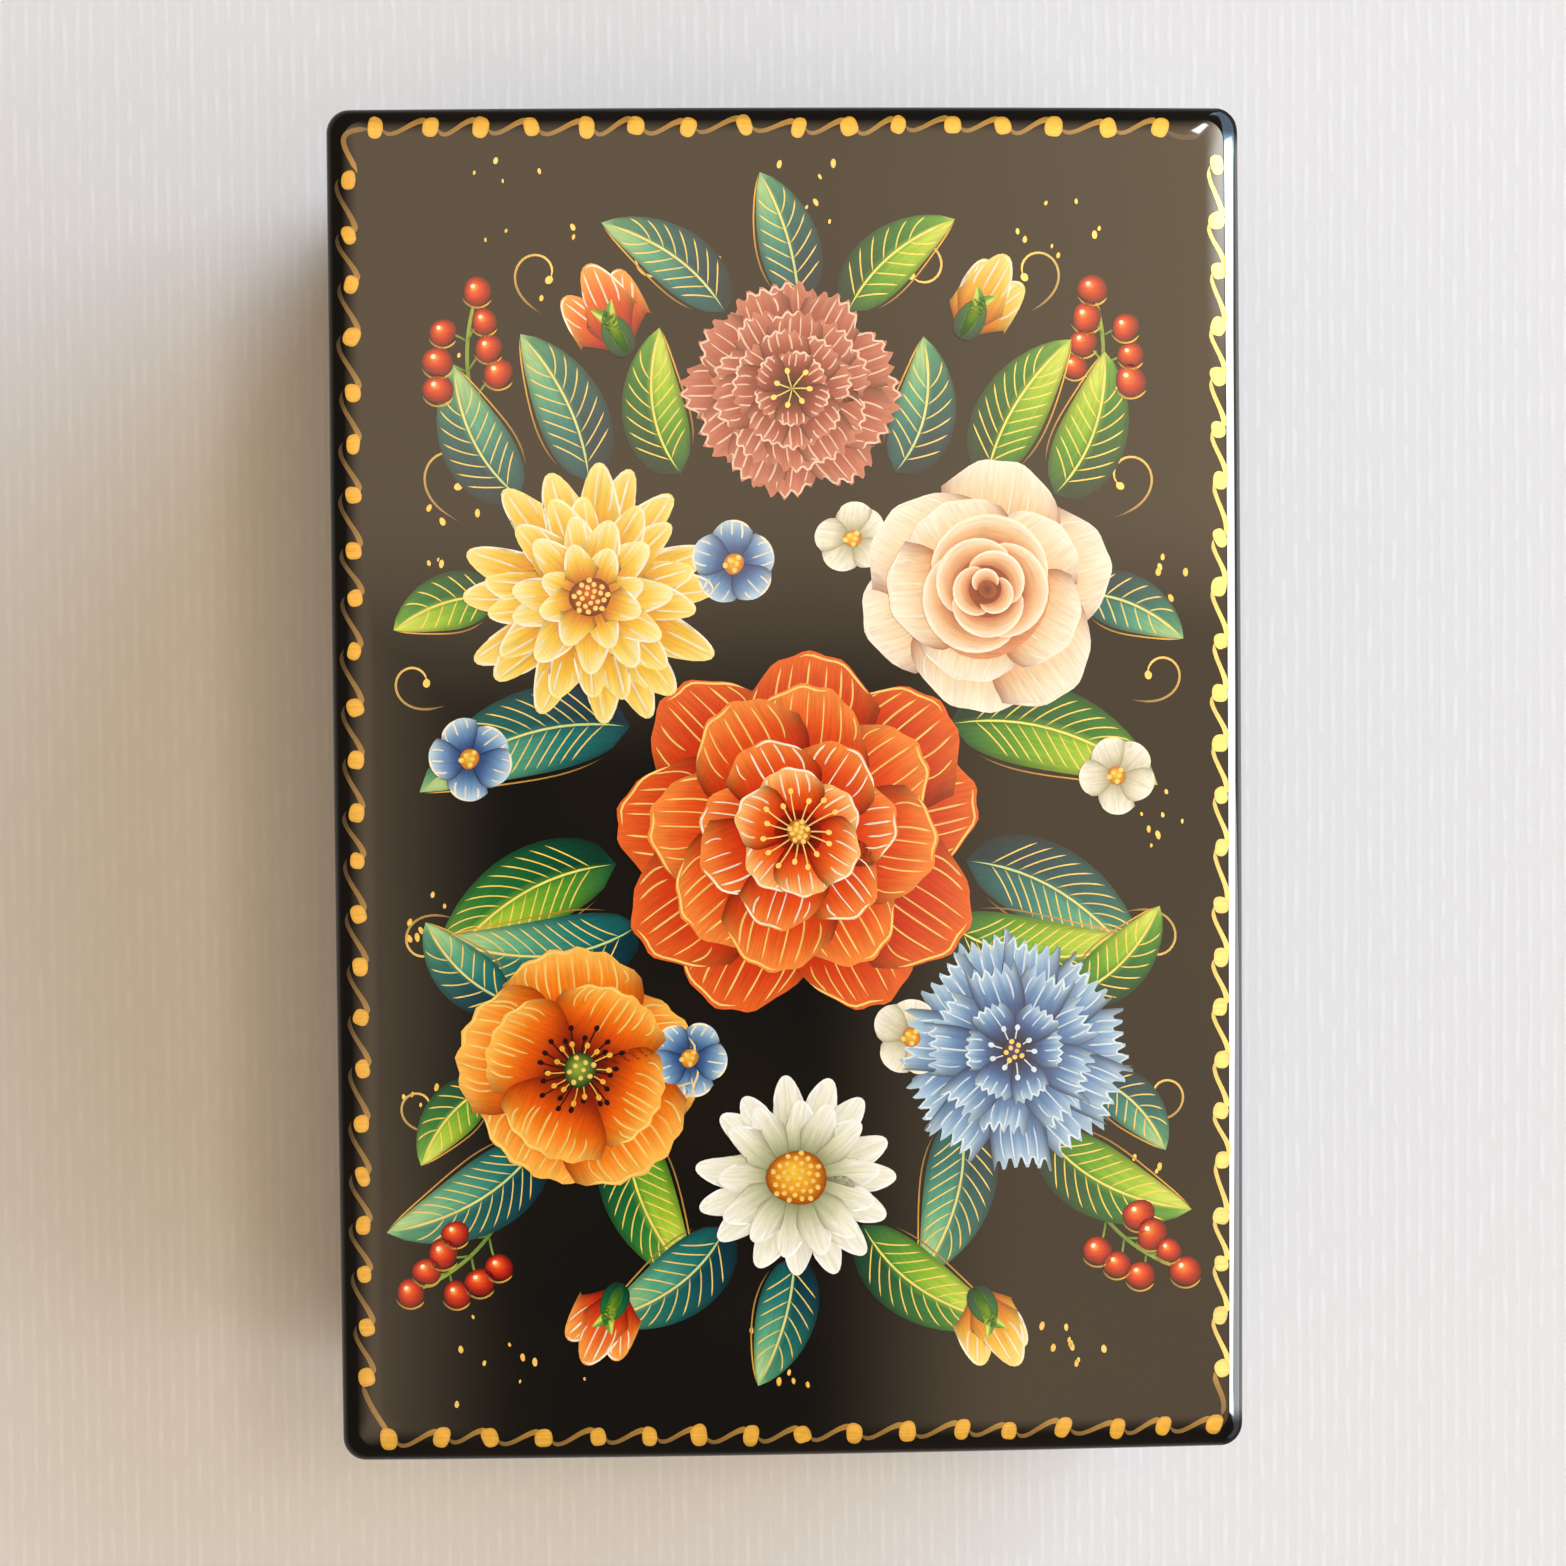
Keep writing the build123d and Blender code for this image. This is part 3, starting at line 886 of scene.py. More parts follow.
def stamens(paint, centre, count, reach, tone, layer):
    """Fine filaments with a drop at each end."""
    for k in range(count):
        out = reach * (1 + paint.jitter(0.18))
        angle = 360 * k / count + paint.jitter(6)
        knee = centre + heading(angle) * out * 0.5 + heading(angle + 25) * out * 0.15
        points = bezier([centre, knee, centre + heading(angle) * out], steps(9))
        paint.line(points, 0.045, (blend(tone, GROUND, 0.3), tone), layer, drop=0.17)


def peony(paint, centre):
    deep = tempera(84, 8, 6)
    outer = stops(deep, (150, 16, 10), (188, 34, 12), (212, 58, 18), (234, 104, 40))
    middle = stops(deep, (166, 20, 10), (208, 46, 14), (230, 84, 24), (248, 144, 62))
    inner = stops((110, 12, 8), (206, 44, 14), (242, 108, 32), (255, 198, 118))
    petal_rings(paint, centre, deep, [
        (8, 9, 1.0, 12.3, 9.2, outer, 0.36, 0.012, 4, STRAW, 7, 10),
        (10, 8, 0.8, 9.4, 7.6, middle, 0.34, 0.014, 4, STRAW, 6, 32),
        (12, 7, 0.5, 6.6, 5.8, middle, 0.34, 0.016, 3, CREAM, 5, 5),
        (14, 6, 0.3, 4.2, 4.2, inner, 0.34, 0.02, 3, CREAM, 4, 40),
    ])
    heart = stops((60, 6, 4), (96, 10, 6), (150, 24, 10), places=(0, 0.6, 1))
    paint.dot(centre, 1.5, heart, 16, sides=24)
    stamens(paint, centre, 15, 2.5, GOLD_LIGHT, 16.5)
    seed_head(paint, centre, 0.8, stops((240, 190, 60), (170, 80, 20)), 12, 17.5)


def dahlia(paint, centre):
    edge = tempera(112, 48, 8)
    outer = stops(edge, (186, 96, 16), (226, 150, 30), (244, 194, 60), (254, 232, 140))
    inner = stops((140, 56, 8), (222, 130, 22), (248, 200, 66), (255, 240, 170))
    petal_rings(paint, centre, edge, [
        (8, 16, 1.0, 8.6, 3.4, outer, 0.7, 0, 1, CREAM, 3, 0),
        (10, 14, 1.0, 6.9, 3.0, outer, 0.7, 0, 1, CREAM, 3, 12),
        (12, 11, 0.8, 5.2, 2.8, inner, 0.7, 0, 1, CREAM, 2, 3),
        (14, 8, 0.5, 3.5, 2.4, inner, 0.7, 0, 1, CREAM, 2, 20),
    ])
    seed_head(paint, centre, 1.3, stops((214, 90, 20), (110, 36, 8)), 22, 16)


def rose_fold(paint, centre, out, width, first, tones, layer):
    """One of the petals wound up in a rose's heart, and the light on its rim."""

    def at(along, across):
        swell = np.sin(math.pi * along)
        reach = out + width * (across * swell ** 0.7) + 0.3 * swell
        return centre + heading(first + 165 * along) * reach[:, None]

    paint.sheet(at, lambda along, across: ramp(0.5 + 0.5 * across, tones), layer, rows=17, columns=7)
    paint.line(at(np.linspace(0.1, 0.9, 14), np.full(14, 0.85)), 0.06, (CREAM, CREAM), layer + 0.2)


def rose(paint, centre):
    edge = tempera(150, 66, 34)
    outer = stops(edge, (206, 116, 66), (236, 172, 116), (249, 218, 172), (254, 242, 218))
    petal_rings(paint, centre, edge, [
        (8, 6, 0.8, 8.2, 8.2, outer, 0.34, 0.012, 3, CREAM, 6, 15),
        (10, 5, 0.6, 6.4, 7.0, outer, 0.34, 0.012, 3, CREAM, 5, 45),
    ])
    bowl = stops((120, 40, 20), (190, 96, 56), (226, 150, 100), places=(0, 0.7, 1))
    paint.dot(centre, 4.3, bowl, 12, sides=32)
    fold = stops((196, 104, 60), (240, 184, 130), (254, 238, 208))
    for k, share in enumerate(steps(9)):
        out, width = blend((3.7, 0.95), (0.7, 0.4), share)
        rose_fold(paint, centre, out, width, GOLDEN_ANGLE * k, fold, 13 + 0.4 * k)
    paint.dot(centre, 0.6, stops((110, 36, 18), (170, 84, 48)), 17)


def carnation(paint, centre):
    edge = tempera(58, 16, 12)
    tones = stops(edge, (100, 34, 24), (142, 58, 42), (178, 88, 66), (208, 130, 102))
    blush = tempera(246, 206, 176)
    petal_rings(paint, centre, edge, [
        (8, 12, 0.4, 7.0, 4.2, tones, 0.22, 0.045, 5, blush, 4, 0),
        (10, 10, 0.4, 5.3, 3.8, tones, 0.22, 0.045, 5, blush, 4, 15),
        (12, 8, 0.4, 3.8, 3.2, tones, 0.22, 0.045, 5, blush, 4, 4),
        (14, 6, 0.4, 2.4, 2.4, tones, 0.22, 0.045, 5, blush, 4, 30),
    ])
    stamens(paint, centre, 7, 1.4, GOLD_LIGHT, 16)


def poppy(paint, centre):
    outer = stops((34, 10, 6), (150, 36, 4), (228, 88, 8), (248, 134, 24), (255, 192, 84))
    petal_rings(paint, centre, tempera(130, 34, 4), [
        (8, 5, 0.6, 7.7, 9.0, outer, 0.3, 0.02, 5, STRAW, 9, 20),
        (10, 4, 0.5, 5.9, 7.2, outer, 0.3, 0.02, 5, STRAW, 8, 60),
    ])
    stamens(paint, centre, 22, 2.7, tempera(40, 14, 8), 12)
    stamens(paint, centre, 14, 2.1, GOLD, 13)
    seed_head(paint, centre, 1.1, stops((150, 180, 60), (24, 60, 24)), 9, 14)


def cornflower(paint, centre):
    edge = tempera(12, 20, 40)
    tones = stops(edge, (28, 48, 86), (58, 92, 140), (106, 146, 186), (186, 212, 224))
    pale = tempera(222, 236, 240)
    petal_rings(paint, centre, edge, [
        (8, 11, 0.8, 7.1, 3.9, tones, -0.05, 0.07, 5, pale, 4, 8),
        (10, 9, 0.6, 5.2, 3.3, tones, -0.05, 0.08, 5, pale, 3, 24),
        (12, 6, 0.4, 3.3, 2.6, tones, 0.1, 0.06, 5, pale, 3, 0),
    ])
    stamens(paint, centre, 9, 1.7, pale, 14)
    seed_head(paint, centre, 0.8, stops((70, 60, 110), (20, 20, 50)), 8, 15)


def daisy(paint, centre):
    tones = stops((96, 104, 60), (190, 188, 146), (236, 230, 200), (254, 250, 234))
    white = tempera(255, 253, 244)
    petal_rings(paint, centre, tempera(120, 122, 84), [
        (8, 15, 1.2, 6.6, 2.3, tones, 0.45, 0, 1, white, 2, 0),
        (10, 13, 1.2, 5.3, 2.1, tones, 0.45, 0, 1, white, 2, 11),
    ])
    head = stops((252, 206, 60), (236, 150, 30), (150, 66, 12), places=(0, 0.6, 1))
    seed_head(paint, centre, 1.9, head, 34, 12)


def blossom(paint, centre, radius, tones):
    """A small flower of five round petals."""
    turn = paint.rng.uniform(0, 72)
    ring = (8, 5, 0.2, radius, radius * 0.98, tones, 0.3, 0, 1, CREAM, 3, turn)
    petal_rings(paint, centre, tones[0][1], [ring])
    seed_head(paint, centre, radius * 0.24, stops((250, 200, 60), (200, 110, 20)), 5, 10)


def bud(paint, base, angle, length, tones):
    """A closed flower between two sepals, out along an angle from its base."""
    tone = shaded(tones, tones[0][1])
    for lean, width, level in ((-16, 0.5, 6), (16, 0.5, 6.4), (0, 0.56, 7)):
        size = (0, length * (1 - abs(lean) / 120), length * width)
        at = petal(paint, base, angle + lean, size, tone, level, 0.62, 0, 1)
        petal_hairs(paint, at, CREAM, 4, level + 0.2, span=0.55)
    foot = base - heading(angle) * 0.3
    for lean in (-30, 30):
        leaf(paint, foot, angle + lean, length * 0.62, length * 0.22, -lean * 1.4, 0, 7.6)


# Leaves, berries and gold

# A leaf's outline rises from its base and falls to its tip by these powers, and this factor makes it full
LEAF_RISE = 0.55
LEAF_FALL = 0.8
LEAF_FULL = 2.49

# Leaves from this length on have veins, so many pairs to a millimetre
VEINED_LENGTH = 4.5
VEINS_PER_MM = 0.75

# A berry's radius, and where it catches the light, in radii
BERRY_RADIUS = 0.95
BERRY_LIGHT = np.array([-0.3, 0.35])

# Droplets stay this far inside the lid's outline
DROPLET_INSET = 3.4


def leaf(paint, base, angle, length, width, bend, style, layer):
    """A pointed leaf, bent by so many degrees, with gold veins. Style 0 is green, 1 is blue-green."""
    control = bent(base, angle, length, bend)
    light, dark = LEAF_STYLES[style]
    flip = 1 if bend >= 0 else -1

    def at(along, across):
        ahead = bezier([control[1] - control[0], control[2] - control[1]], along)
        ahead /= np.linalg.norm(ahead, axis=1, keepdims=True)
        side = np.stack([-ahead[:, 1], ahead[:, 0]], -1)
        half = width / 2 * LEAF_FULL * along ** LEAF_RISE * (1 - along) ** LEAF_FALL
        return bezier(control, along) + side * (half * across * flip)[:, None]

    paint.sheet(at, leaf_tone(light, dark), layer, rows=15, columns=11)
    if length < VEINED_LENGTH:
        return
    vein = light[-1][1]
    side_tones = (blend(vein, GOLD, 0.5), GOLD_LIGHT)
    veins = int(length * VEINS_PER_MM)
    for k in range(veins):
        along = 0.12 + 0.66 * k / veins + np.linspace(0, 0.17, 8)
        for side_of in (-1, 1):
            across = side_of * np.linspace(0.02, 0.86, 8) ** 0.9
            paint.line(at(along, across), 0.045, side_tones, layer + 0.3, count=7)
    middle = at(np.linspace(0.02, 0.97, 16), np.zeros(16))
    paint.line(middle, 0.075, (vein, GOLD_LIGHT), layer + 0.4, count=14)
    outline = at(np.linspace(0.12, 0.99, 18), np.full(18, 1.12))
    paint.line(outline, 0.05, (GOLD_THIN, GOLD), layer + 0.4, count=16)


def loose_leaf(paint, base, angle, length, *rest):
    """A leaf of slightly uneven length and angle."""
    length *= 1 + paint.jitter(0.06)
    leaf(paint, base, angle + paint.jitter(5), length, *rest)


def berry(paint, centre, radius, layer):
    """A round berry with a gold line under it and a spot of light."""
    paint.dot(centre, radius, BERRY, layer, light=BERRY_LIGHT)
    under = centre + 1.12 * radius * heading(np.linspace(200, 330, 10))
    paint.line(under, 0.06, (GOLD_THIN, GOLD), layer)
    paint.dot(centre + BERRY_LIGHT * radius, radius * 0.16, stops(CREAM, CREAM), layer + 0.5, sides=8)


def sprig(paint, base, angle, length, bend, pairs):
    """A curved stalk with berries on both sides and one at its end."""
    stalk = bezier(bent(base, angle, length, bend), steps(20))
    paint.line(stalk, 0.12, STALK, 2, count=16)
    ends = [stalk[-1]]
    for k in range(pairs):
        joint = stalk[int(19 * (0.3 + 0.62 * k / pairs))]
        for side_of in (-1, 1):
            out = joint + heading(angle + bend * 0.6 + side_of * 55) * length * (0.26 - 0.04 * k)
            knee = blend(joint, out, 0.5) + heading(angle) * 0.4
            paint.line(bezier([joint, knee, out], steps(8)), 0.07, STALKLET, 2, count=7)
            ends.append(out)
    for k, end in enumerate(ends):
        berry(paint, end, BERRY_RADIUS * (1 + paint.jitter(0.12)), 4 + 0.5 * (k % 2))


def tendril(paint, start, angle, length, turn):
    """A gold line that curls tighter towards its end, which holds a drop."""
    strides = heading(angle + turn * steps(40) ** 1.7) * length / 39
    points = start + np.concatenate([[(0, 0)], np.cumsum(strides[:-1], 0)])
    paint.line(points, 0.075, (GOLD_THIN, GOLD_LIGHT), GOLD_LAYER, drop=0.24, count=26)


def tendril_pair(paint, start, angle, length, turn):
    """A tendril, and its uneven mirror image on the lid's other half."""
    tendril(paint, start, angle, length, turn)
    start, angle, turn = mirrored(start, angle, turn)
    tendril(paint, start, angle + paint.jitter(10), length * (1 + paint.jitter(0.1)), turn)


def droplets(paint, centre, count, spread):
    """A loose cluster of upright touches of gold, clear of the border."""
    while count > 0:
        here = np.add(centre, [paint.rng.gauss(0, spread), paint.rng.gauss(0, spread * 1.3)])
        if min(HALF_WIDTH - abs(here[0]), HALF_LENGTH - abs(here[1])) < DROPLET_INSET:
            continue
        count -= 1
        size = paint.rng.uniform(0.13, 0.3)
        tones = stops(GOLD_LIGHT, blend(GOLD, GOLD_LIGHT, paint.rng.random()))
        paint.dot(here, size, tones, GOLD_LAYER, squash=0.6, angle=90 + paint.jitter(25), sides=10)


# The bouquet's layout on the lid

# Leaves by base, angle, length, width, bend and style, on the right half
LEAVES = [
    ((17.5, 19.0), 42, 9.8, 4.6, 26, 0),
    ((19.0, 12.5), 4, 7.6, 3.8, -24, 1),
    ((13.0, 20.0), 82, 11.0, 4.6, -20, 0),
    ((7.0, 20.5), 48, 9.5, 4.2, 30, 1),
    ((10.5, 4.0), 14, 14.0, 5.6, -26, 0),
    ((11.5, -5.0), -2, 13.5, 5.4, -28, 1),
    ((10.0, -9.0), -34, 13.0, 5.0, 30, 0),
    ((18.5, -14.0), 18, 8.0, 3.8, 24, 0),
    ((20.0, -19.5), -22, 7.0, 3.4, -24, 1),
    ((16.5, -23.0), -58, 11.5, 4.8, 26, 0),
    ((11.0, -21.5), -84, 12.0, 4.8, -24, 1),
    ((4.5, -29.0), -62, 11.0, 4.6, 28, 0),
    ((4.0, 31.0), 62, 9.5, 4.0, -24, 0),
]

# Leaves at the ends of the middle line, with their layer
MIDDLE_LEAVES = [
    ((0.8, 31.5), 92, 9.0, 4.0, 14, 1, 3),
    ((0.0, -31.0), -92, 9.0, 4.0, -14, 1, 3),
]

FLOWERS = [
    (peony, (0.5, -3.0)),
    (dahlia, (-13.0, 12.5)),
    (rose, (13.0, 12.8)),
    (carnation, (0.3, 26.0)),
    (poppy, (-14.0, -18.5)),
    (cornflower, (14.6, -17.6)),
    (daisy, (0.2, -25.8)),
]

# Blossoms by centre, radius and tones
BLUE = stops((20, 34, 66), (60, 94, 142), (120, 160, 196), (206, 224, 230))
WHITE = stops((150, 140, 96), (230, 220, 186), (253, 248, 230))
BLOSSOMS = [
    ((-3.6, 14.6), 2.8, BLUE),
    ((4.2, 16.2), 2.4, WHITE),
    ((-21.0, 2.0), 2.7, BLUE),
    ((21.5, 0.5), 2.5, WHITE),
    ((-6.8, -17.8), 2.5, BLUE),
    ((7.8, -16.6), 2.6, WHITE),
]

# Buds by base, angle, length and tones
RED = stops((90, 8, 6), (196, 36, 12), (238, 100, 30), (252, 170, 76))
AMBER = stops((120, 44, 6), (222, 120, 18), (246, 184, 50), (254, 226, 130))
BUDS = [
    ((-10.5, 28.5), 118, 6.2, RED),
    ((11.5, 29.5), 60, 6.0, AMBER),
    ((-11.5, -33.0), 246, 5.6, RED),
    ((12.0, -33.5), 296, 5.8, AMBER),
]

# Sprigs by base, angle, length, bend and pairs of berries
SPRIGS = [
    ((19.5, 23.5), 60, 9.0, 26, 3),
    ((-19.5, 23.0), 120, 9.5, -26, 3),
    ((19.5, -27.0), 296, 8.5, 24, 3),
    ((-19.0, -27.5), 246, 8.5, -24, 3),
]

# Tendrils by start, angle, length and turn, on the right half
TENDRILS = [
    ((21.5, 17.5), 20, 9.0, 330),
    ((6.0, 33.5), 60, 9.0, -320),
    ((22.5, 5.5), -10, 8.0, 320),
    ((22.0, -8.5), 10, 8.5, -330),
    ((22.5, -22.0), -20, 8.0, 340),
    ((7.5, -34.5), -40, 8.5, 320),
    ((16.0, 31.0), 30, 8.0, 300),
]

# Droplets by centre, number and spread
DROPLETS = [
    ((0.5, 39.0), 9, 2.2), ((-17.5, 37.0), 10, 2.4), ((18.0, 37.5), 9, 2.2), ((-24.0, 15.0), 7, 1.3),
    ((24.3, 13.0), 7, 1.2), ((-24.4, -9.0), 8, 1.2), ((24.4, -3.0), 7, 1.1), ((-23.5, -22.0), 8, 1.5),
    ((23.8, -26.5), 7, 1.2), ((-18.5, -38.0), 9, 2.0), ((18.5, -38.5), 9, 2.0), ((0.5, -39.8), 8, 2.2),
]

# Seeds of the pieces' random draws
BORDER_SEED = 11
LEAF_SEEDS = {"right_upper": 27, "right_lower": 22, "left_upper": 25, "left_lower": 20, "middle": 31}
FLOWER_SEED = 41
BLOSSOM_SEED = 51
BUD_SEED = 52
SPRIG_SEED = 61
TENDRIL_SEED = 71
DROPLET_SEED = 72


def mirrored(place, angle, turn):
    """A place, an angle and a turn, seen in a mirror along the lid's middle line."""
    return (-place[0], place[1]), 180 - angle, -turn


def quarter_leaves(side, half):
    """The leaves of one quarter of the lid, with layers. Those at the left change their style."""
    rows = []
    for base, angle, length, width, bend, style in LEAVES:
        if (base[1] > 0) == (half == "upper"):
            if side == "left":
                base, angle, bend = mirrored(base, angle, bend)
                style = 1 - style
            rows.append((base, angle, length, width, bend, style, 3 + 0.7 * (len(rows) % 4)))
    return rows


def paint_piece(name, seed, stroke, rows):
    """One piece of the painting, with a stroke for each row of values."""
    paint = Paint(name, seed)
    for row in rows:
        stroke(paint, *row)
    paint.finish()


def paint_lid():
    """The border, the bouquet from its leaves up, and the gold between."""
    for k, (name, run) in enumerate(BORDER.items()):
        paint_piece(name, BORDER_SEED + k, border_run, [run])
    for side in ("right", "left"):
        for half in ("upper", "lower"):
            name = f"{side}_{half}"
            paint_piece(f"leaves_{name}", LEAF_SEEDS[name], loose_leaf, quarter_leaves(side, half))
    paint_piece("leaves_middle", LEAF_SEEDS["middle"], leaf, MIDDLE_LEAVES)
    for k, (flower, centre) in enumerate(FLOWERS):
        paint_piece(flower.__name__, FLOWER_SEED + k, flower, [(centre,)])
    paint_piece("blossoms", BLOSSOM_SEED, blossom, BLOSSOMS)
    paint_piece("buds", BUD_SEED, bud, BUDS)
    for k, row in enumerate(SPRIGS):
        paint_piece(f"berries_{k + 1}", SPRIG_SEED + k, sprig, [row])
    paint_piece("tendrils", TENDRIL_SEED, tendril_pair, TENDRILS)
    paint_piece("droplets", DROPLET_SEED, droplets, DROPLETS)


# Stage, camera and light

# The camera's place, its turn in degrees, its focal length in pixels of the frame, and its nearest sight
CAMERA_PLACE = (-7.09, 6.21, 229.04)
CAMERA_TURN = (-1.726, -1.933, -0.491)
FOCAL_PIXELS = 3000
FRAME_PIXELS = 1566
CAMERA_NEAR = 5.0

# The cloth: half its side, and the pitch, drift and height of its threads
CLOTH_HALF = 3000.0
THREAD_PITCH = 0.95
THREAD_DRIFT = 2.0
THREAD_HEIGHT = 0.012

# Lamps at the right, by azimuth, elevation, width, height and roll in degrees, and by radiance and colour,
# and their distance in metres
SIDE_LAMPS = {
    "window": (38, 27, 46, 28, 0, 7.8, (0.47, 0.71, 1.0)),
    "pane": (-2, 37.5, 34, 9, -8, 6.8, (0.88, 0.94, 1.0)),
    "wall": (-28, 22, 44, 28, 0, 2.0, (0.85, 0.93, 1.0)),
}
SIDE_DISTANCE = 2.0

# A small lamp near the ceiling, which sparkles in the lid's corner
SPARK_PLACE = (0.437, 0.48, 1.48)
SPARK_SIZE = (0.055, 0.036)
SPARK_ROLL = 48
SPARK_RADIANCE = 45.0

# Radiance of the ceiling, of its brighter part beside the window, of the dim room and of the room's walls
CEILING_GLOW = (5.6, 4.15, 2.65, 1.0)
SHINE_GLOW = (22.0, 20.5, 18.0, 1.0)
ROOM_GLOW = (0.17, 0.145, 0.12, 1.0)
WALL_GLOW = (0.52, 0.37, 0.25, 1.0)

# Where the ceiling's glow starts, as slopes from the upright along X or Y, and its share there. It is dark
# between these, and the glow at the top grows to the right, between two slopes
TOP_EDGE, TOP_SHARE = 0.03, 0.75
TOP_DIM, TOP_BRIGHT = 0.06, 0.26
RIGHT_EDGE, RIGHT_SHARE = 0.1, 0.54
LEFT_EDGE, LEFT_SHARE = -0.16, 0.58
GLOW_FADE = 0.06

# The slopes along X and along Y between which the ceiling's brighter part grows
SHINE_RIGHT = (0.29, 0.375)
SHINE_TOP = (0.13, 0.24)

# The ceiling's middle, as slopes along X and Y, and the slopes from there between which its glow ends
CEILING_MIDDLE = (0.08, -0.02)
GLOW_END = (0.3, 0.4)

# The pale backdrop round the horizon, which the camera and glossy faces see, and the heights of a direction
# between which it and the walls end. No slope is taken below the last height
BACKDROP = (0.72, 0.72, 0.72, 1.0)
BACKDROP_END = (0.0, 0.4)
WALL_END = (0.3, 0.6)
LEAST_HEIGHT = 0.01


def camera():
    """Nearly straight above the lid, a little to its upper left."""
    lens = bpy.data.cameras.new("camera")
    lens.lens = lens.sensor_width * FOCAL_PIXELS / FRAME_PIXELS
    lens.clip_start = CAMERA_NEAR * MM
    piece = bpy.data.objects.new("camera", lens)
    piece.location = np.array(CAMERA_PLACE) * MM
    piece.rotation_euler = np.radians(CAMERA_TURN)
    bpy.context.scene.collection.objects.link(piece)
    bpy.context.scene.camera = piece


def floor():
    """A plain pale cloth under the box, with raised threads along Y that come and go."""
    mesh = bpy.data.meshes.new("floor")
    half = CLOTH_HALF * MM
    corners = [(-half, -half, 0), (half, -half, 0), (half, half, 0), (-half, half, 0)]
    mesh.from_pydata(corners, [], [range(4)])
    nodes = Nodes(bpy.data.materials.new("floor"))
    place = nodes.place()
    drift = nodes.math("MULTIPLY", nodes.noise(place, 0.08, detail=1.0, stretch=(1, 0.3, 1)), THREAD_DRIFT)
    turns = nodes.math("MULTIPLY", nodes.axes(place)[0], 2 * math.pi / (THREAD_PITCH * MM))
    threads = nodes.remap(nodes.math("SINE", nodes.math("ADD", turns, drift)), -0.2, 1)
    dashes = nodes.remap(nodes.noise(place, 1.05, detail=2.0, stretch=(1, 0.33, 1)), 0.38, 0.62)
    weave = nodes.math("MULTIPLY", threads, dashes)
    nodes.set(Base_Color=nodes.mix(weave, rgba(229, 229, 229), rgba(235, 235, 235)), Roughness=0.9)
    nodes.set(Normal=nodes.bump(weave, THREAD_HEIGHT))
    mesh.materials.append(nodes.owner)
    piece = bpy.data.objects.new("floor", mesh)
    bpy.context.scene.collection.objects.link(piece)


def lamp(name, place, target, size, radiance, colour, roll):
    """A rectangular soft lamp, in metres, whose face shines with a radiance, rolled about its axis."""
    light = bpy.data.lights.new(name, "AREA")
    light.shape = "RECTANGLE"
    light.size, light.size_y = size
    light.energy = radiance * math.pi * size[0] * size[1]
    light.color = colour
    piece = bpy.data.objects.new(name, light)
    piece.location = place
    aim = (Vector(target) - Vector(place)).to_track_quat("-Z", "Y")
    piece.rotation_euler = (aim @ Quaternion((0, 0, 1), math.radians(roll))).to_euler()
    bpy.context.scene.collection.objects.link(piece)


def side_lamp(name, azimuth, elevation, wide, high, roll, radiance, colour):
    """A lamp that fills a part of the view from the box, given in degrees."""
    target = Vector((0, 0, PANEL_TOP * MM))
    level, up = heading(elevation) * SIDE_DISTANCE
    place = target + Vector((*(heading(azimuth) * level), up))
    size = [2 * SIDE_DISTANCE * math.tan(math.radians(angle / 2)) for angle in (wide, high)]
    lamp(name, place, target, size, radiance, colour, roll)


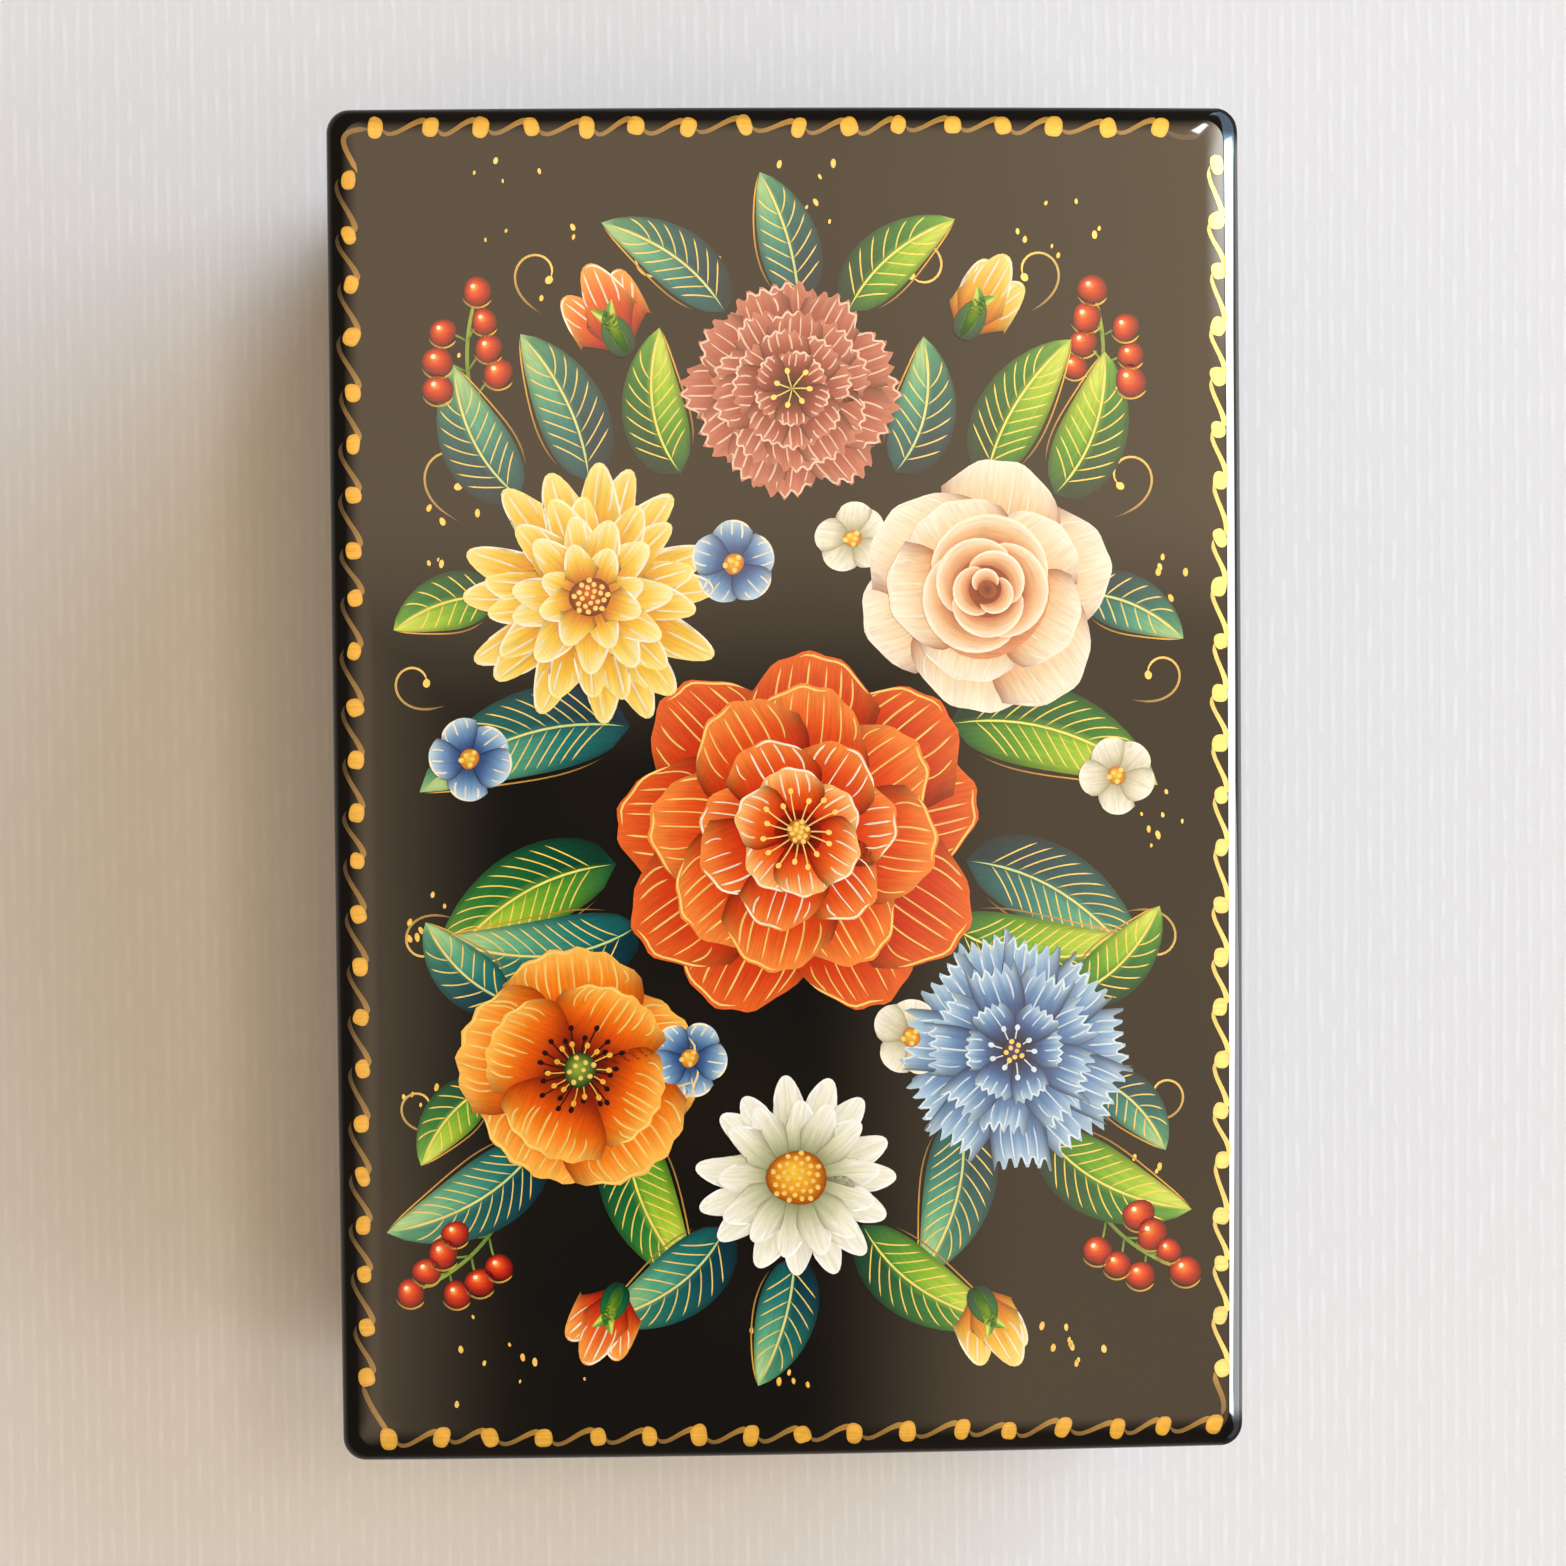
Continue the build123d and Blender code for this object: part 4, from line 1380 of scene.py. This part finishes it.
def world():
    """A warm ceiling with soft edges, a dim room, and a pale backdrop round the horizon."""
    nodes = Nodes(bpy.data.worlds.new("world"), "Background")

    def soft(value, low, high, to_low=0, to_high=1):
        return nodes.remap(value, low, high, to_low, to_high, "SMOOTHSTEP")

    x, y, z = nodes.axes(nodes.node("ShaderNodeTexCoord").outputs["Generated"])
    height = nodes.math("MAXIMUM", z, LEAST_HEIGHT)
    slope_x = nodes.math("DIVIDE", x, height)
    slope_y = nodes.math("DIVIDE", y, height)
    top_share = nodes.remap(slope_x, TOP_DIM, TOP_BRIGHT, TOP_SHARE)
    top = soft(slope_y, TOP_EDGE - GLOW_FADE, TOP_EDGE + GLOW_FADE, 0, top_share)
    right = soft(slope_x, RIGHT_EDGE - GLOW_FADE, RIGHT_EDGE + GLOW_FADE, 0, RIGHT_SHARE)
    left = soft(slope_x, LEFT_EDGE - GLOW_FADE, LEFT_EDGE + GLOW_FADE, LEFT_SHARE, 0)
    lit = nodes.math("MAXIMUM", top, nodes.math("MAXIMUM", right, left))
    reach_x = nodes.math("ABSOLUTE", nodes.math("SUBTRACT", slope_x, CEILING_MIDDLE[0]))
    reach_y = nodes.math("ABSOLUTE", nodes.math("SUBTRACT", slope_y, CEILING_MIDDLE[1]))
    reach = nodes.math("MAXIMUM", reach_x, reach_y)
    lit = nodes.math("MULTIPLY", lit, soft(reach, *GLOW_END, 1, 0))
    shine = nodes.math("MULTIPLY", soft(slope_x, *SHINE_RIGHT), soft(slope_y, *SHINE_TOP))
    ceiling = nodes.mix(shine, CEILING_GLOW, SHINE_GLOW)
    room = nodes.mix(soft(z, *WALL_END), WALL_GLOW, ROOM_GLOW)
    rays = nodes.node("ShaderNodeLightPath").outputs
    seen = nodes.math("MAXIMUM", rays["Is Camera Ray"], rays["Is Glossy Ray"])
    low = nodes.math("MULTIPLY", seen, soft(z, *BACKDROP_END, 1, 0))
    nodes.set(Color=nodes.mix(low, nodes.mix(lit, room, ceiling), BACKDROP))
    bpy.context.scene.world = nodes.owner


def lights():
    """A cool window at the right with one bright pane, a wall below it, and a warm room."""
    for name, side in SIDE_LAMPS.items():
        side_lamp(name, *side)
    below = (*SPARK_PLACE[:2], 0)
    lamp("spark", SPARK_PLACE, below, SPARK_SIZE, SPARK_RADIANCE, (1, 1, 1), SPARK_ROLL)
    world()


def dress_solids():
    """Lacquer on the walls, boards and strips, brass on the hinge, and eased walls over the wound ones."""
    walls = lacquer("wall_lacquer", two_grounds(WALL_RED))
    finishes = {
        "case_walls": walls,
        "lid_rim": walls,
        "base_board": lacquer("base_lacquer", two_grounds(BOARD_RED, low=BASE_RED)),
        "lid_panel": lacquer("black_lacquer", black_ground),
    }
    red = lacquer("red_lacquer", red_ground)
    metal = brass()
    for name, solid in NODES.items():
        solid.data.materials.clear()
        solid.data.materials.append(finishes.get(name, red if name.startswith("strip") else metal))
    eased_wall("case_walls", "case", walls, -1)
    eased_wall("lid_rim", "lid", walls, 1)


camera()
floor()
lights()
dress_solids()
lid_board()
paint_lid()

bpy.context.scene.view_settings.view_transform = "Standard"
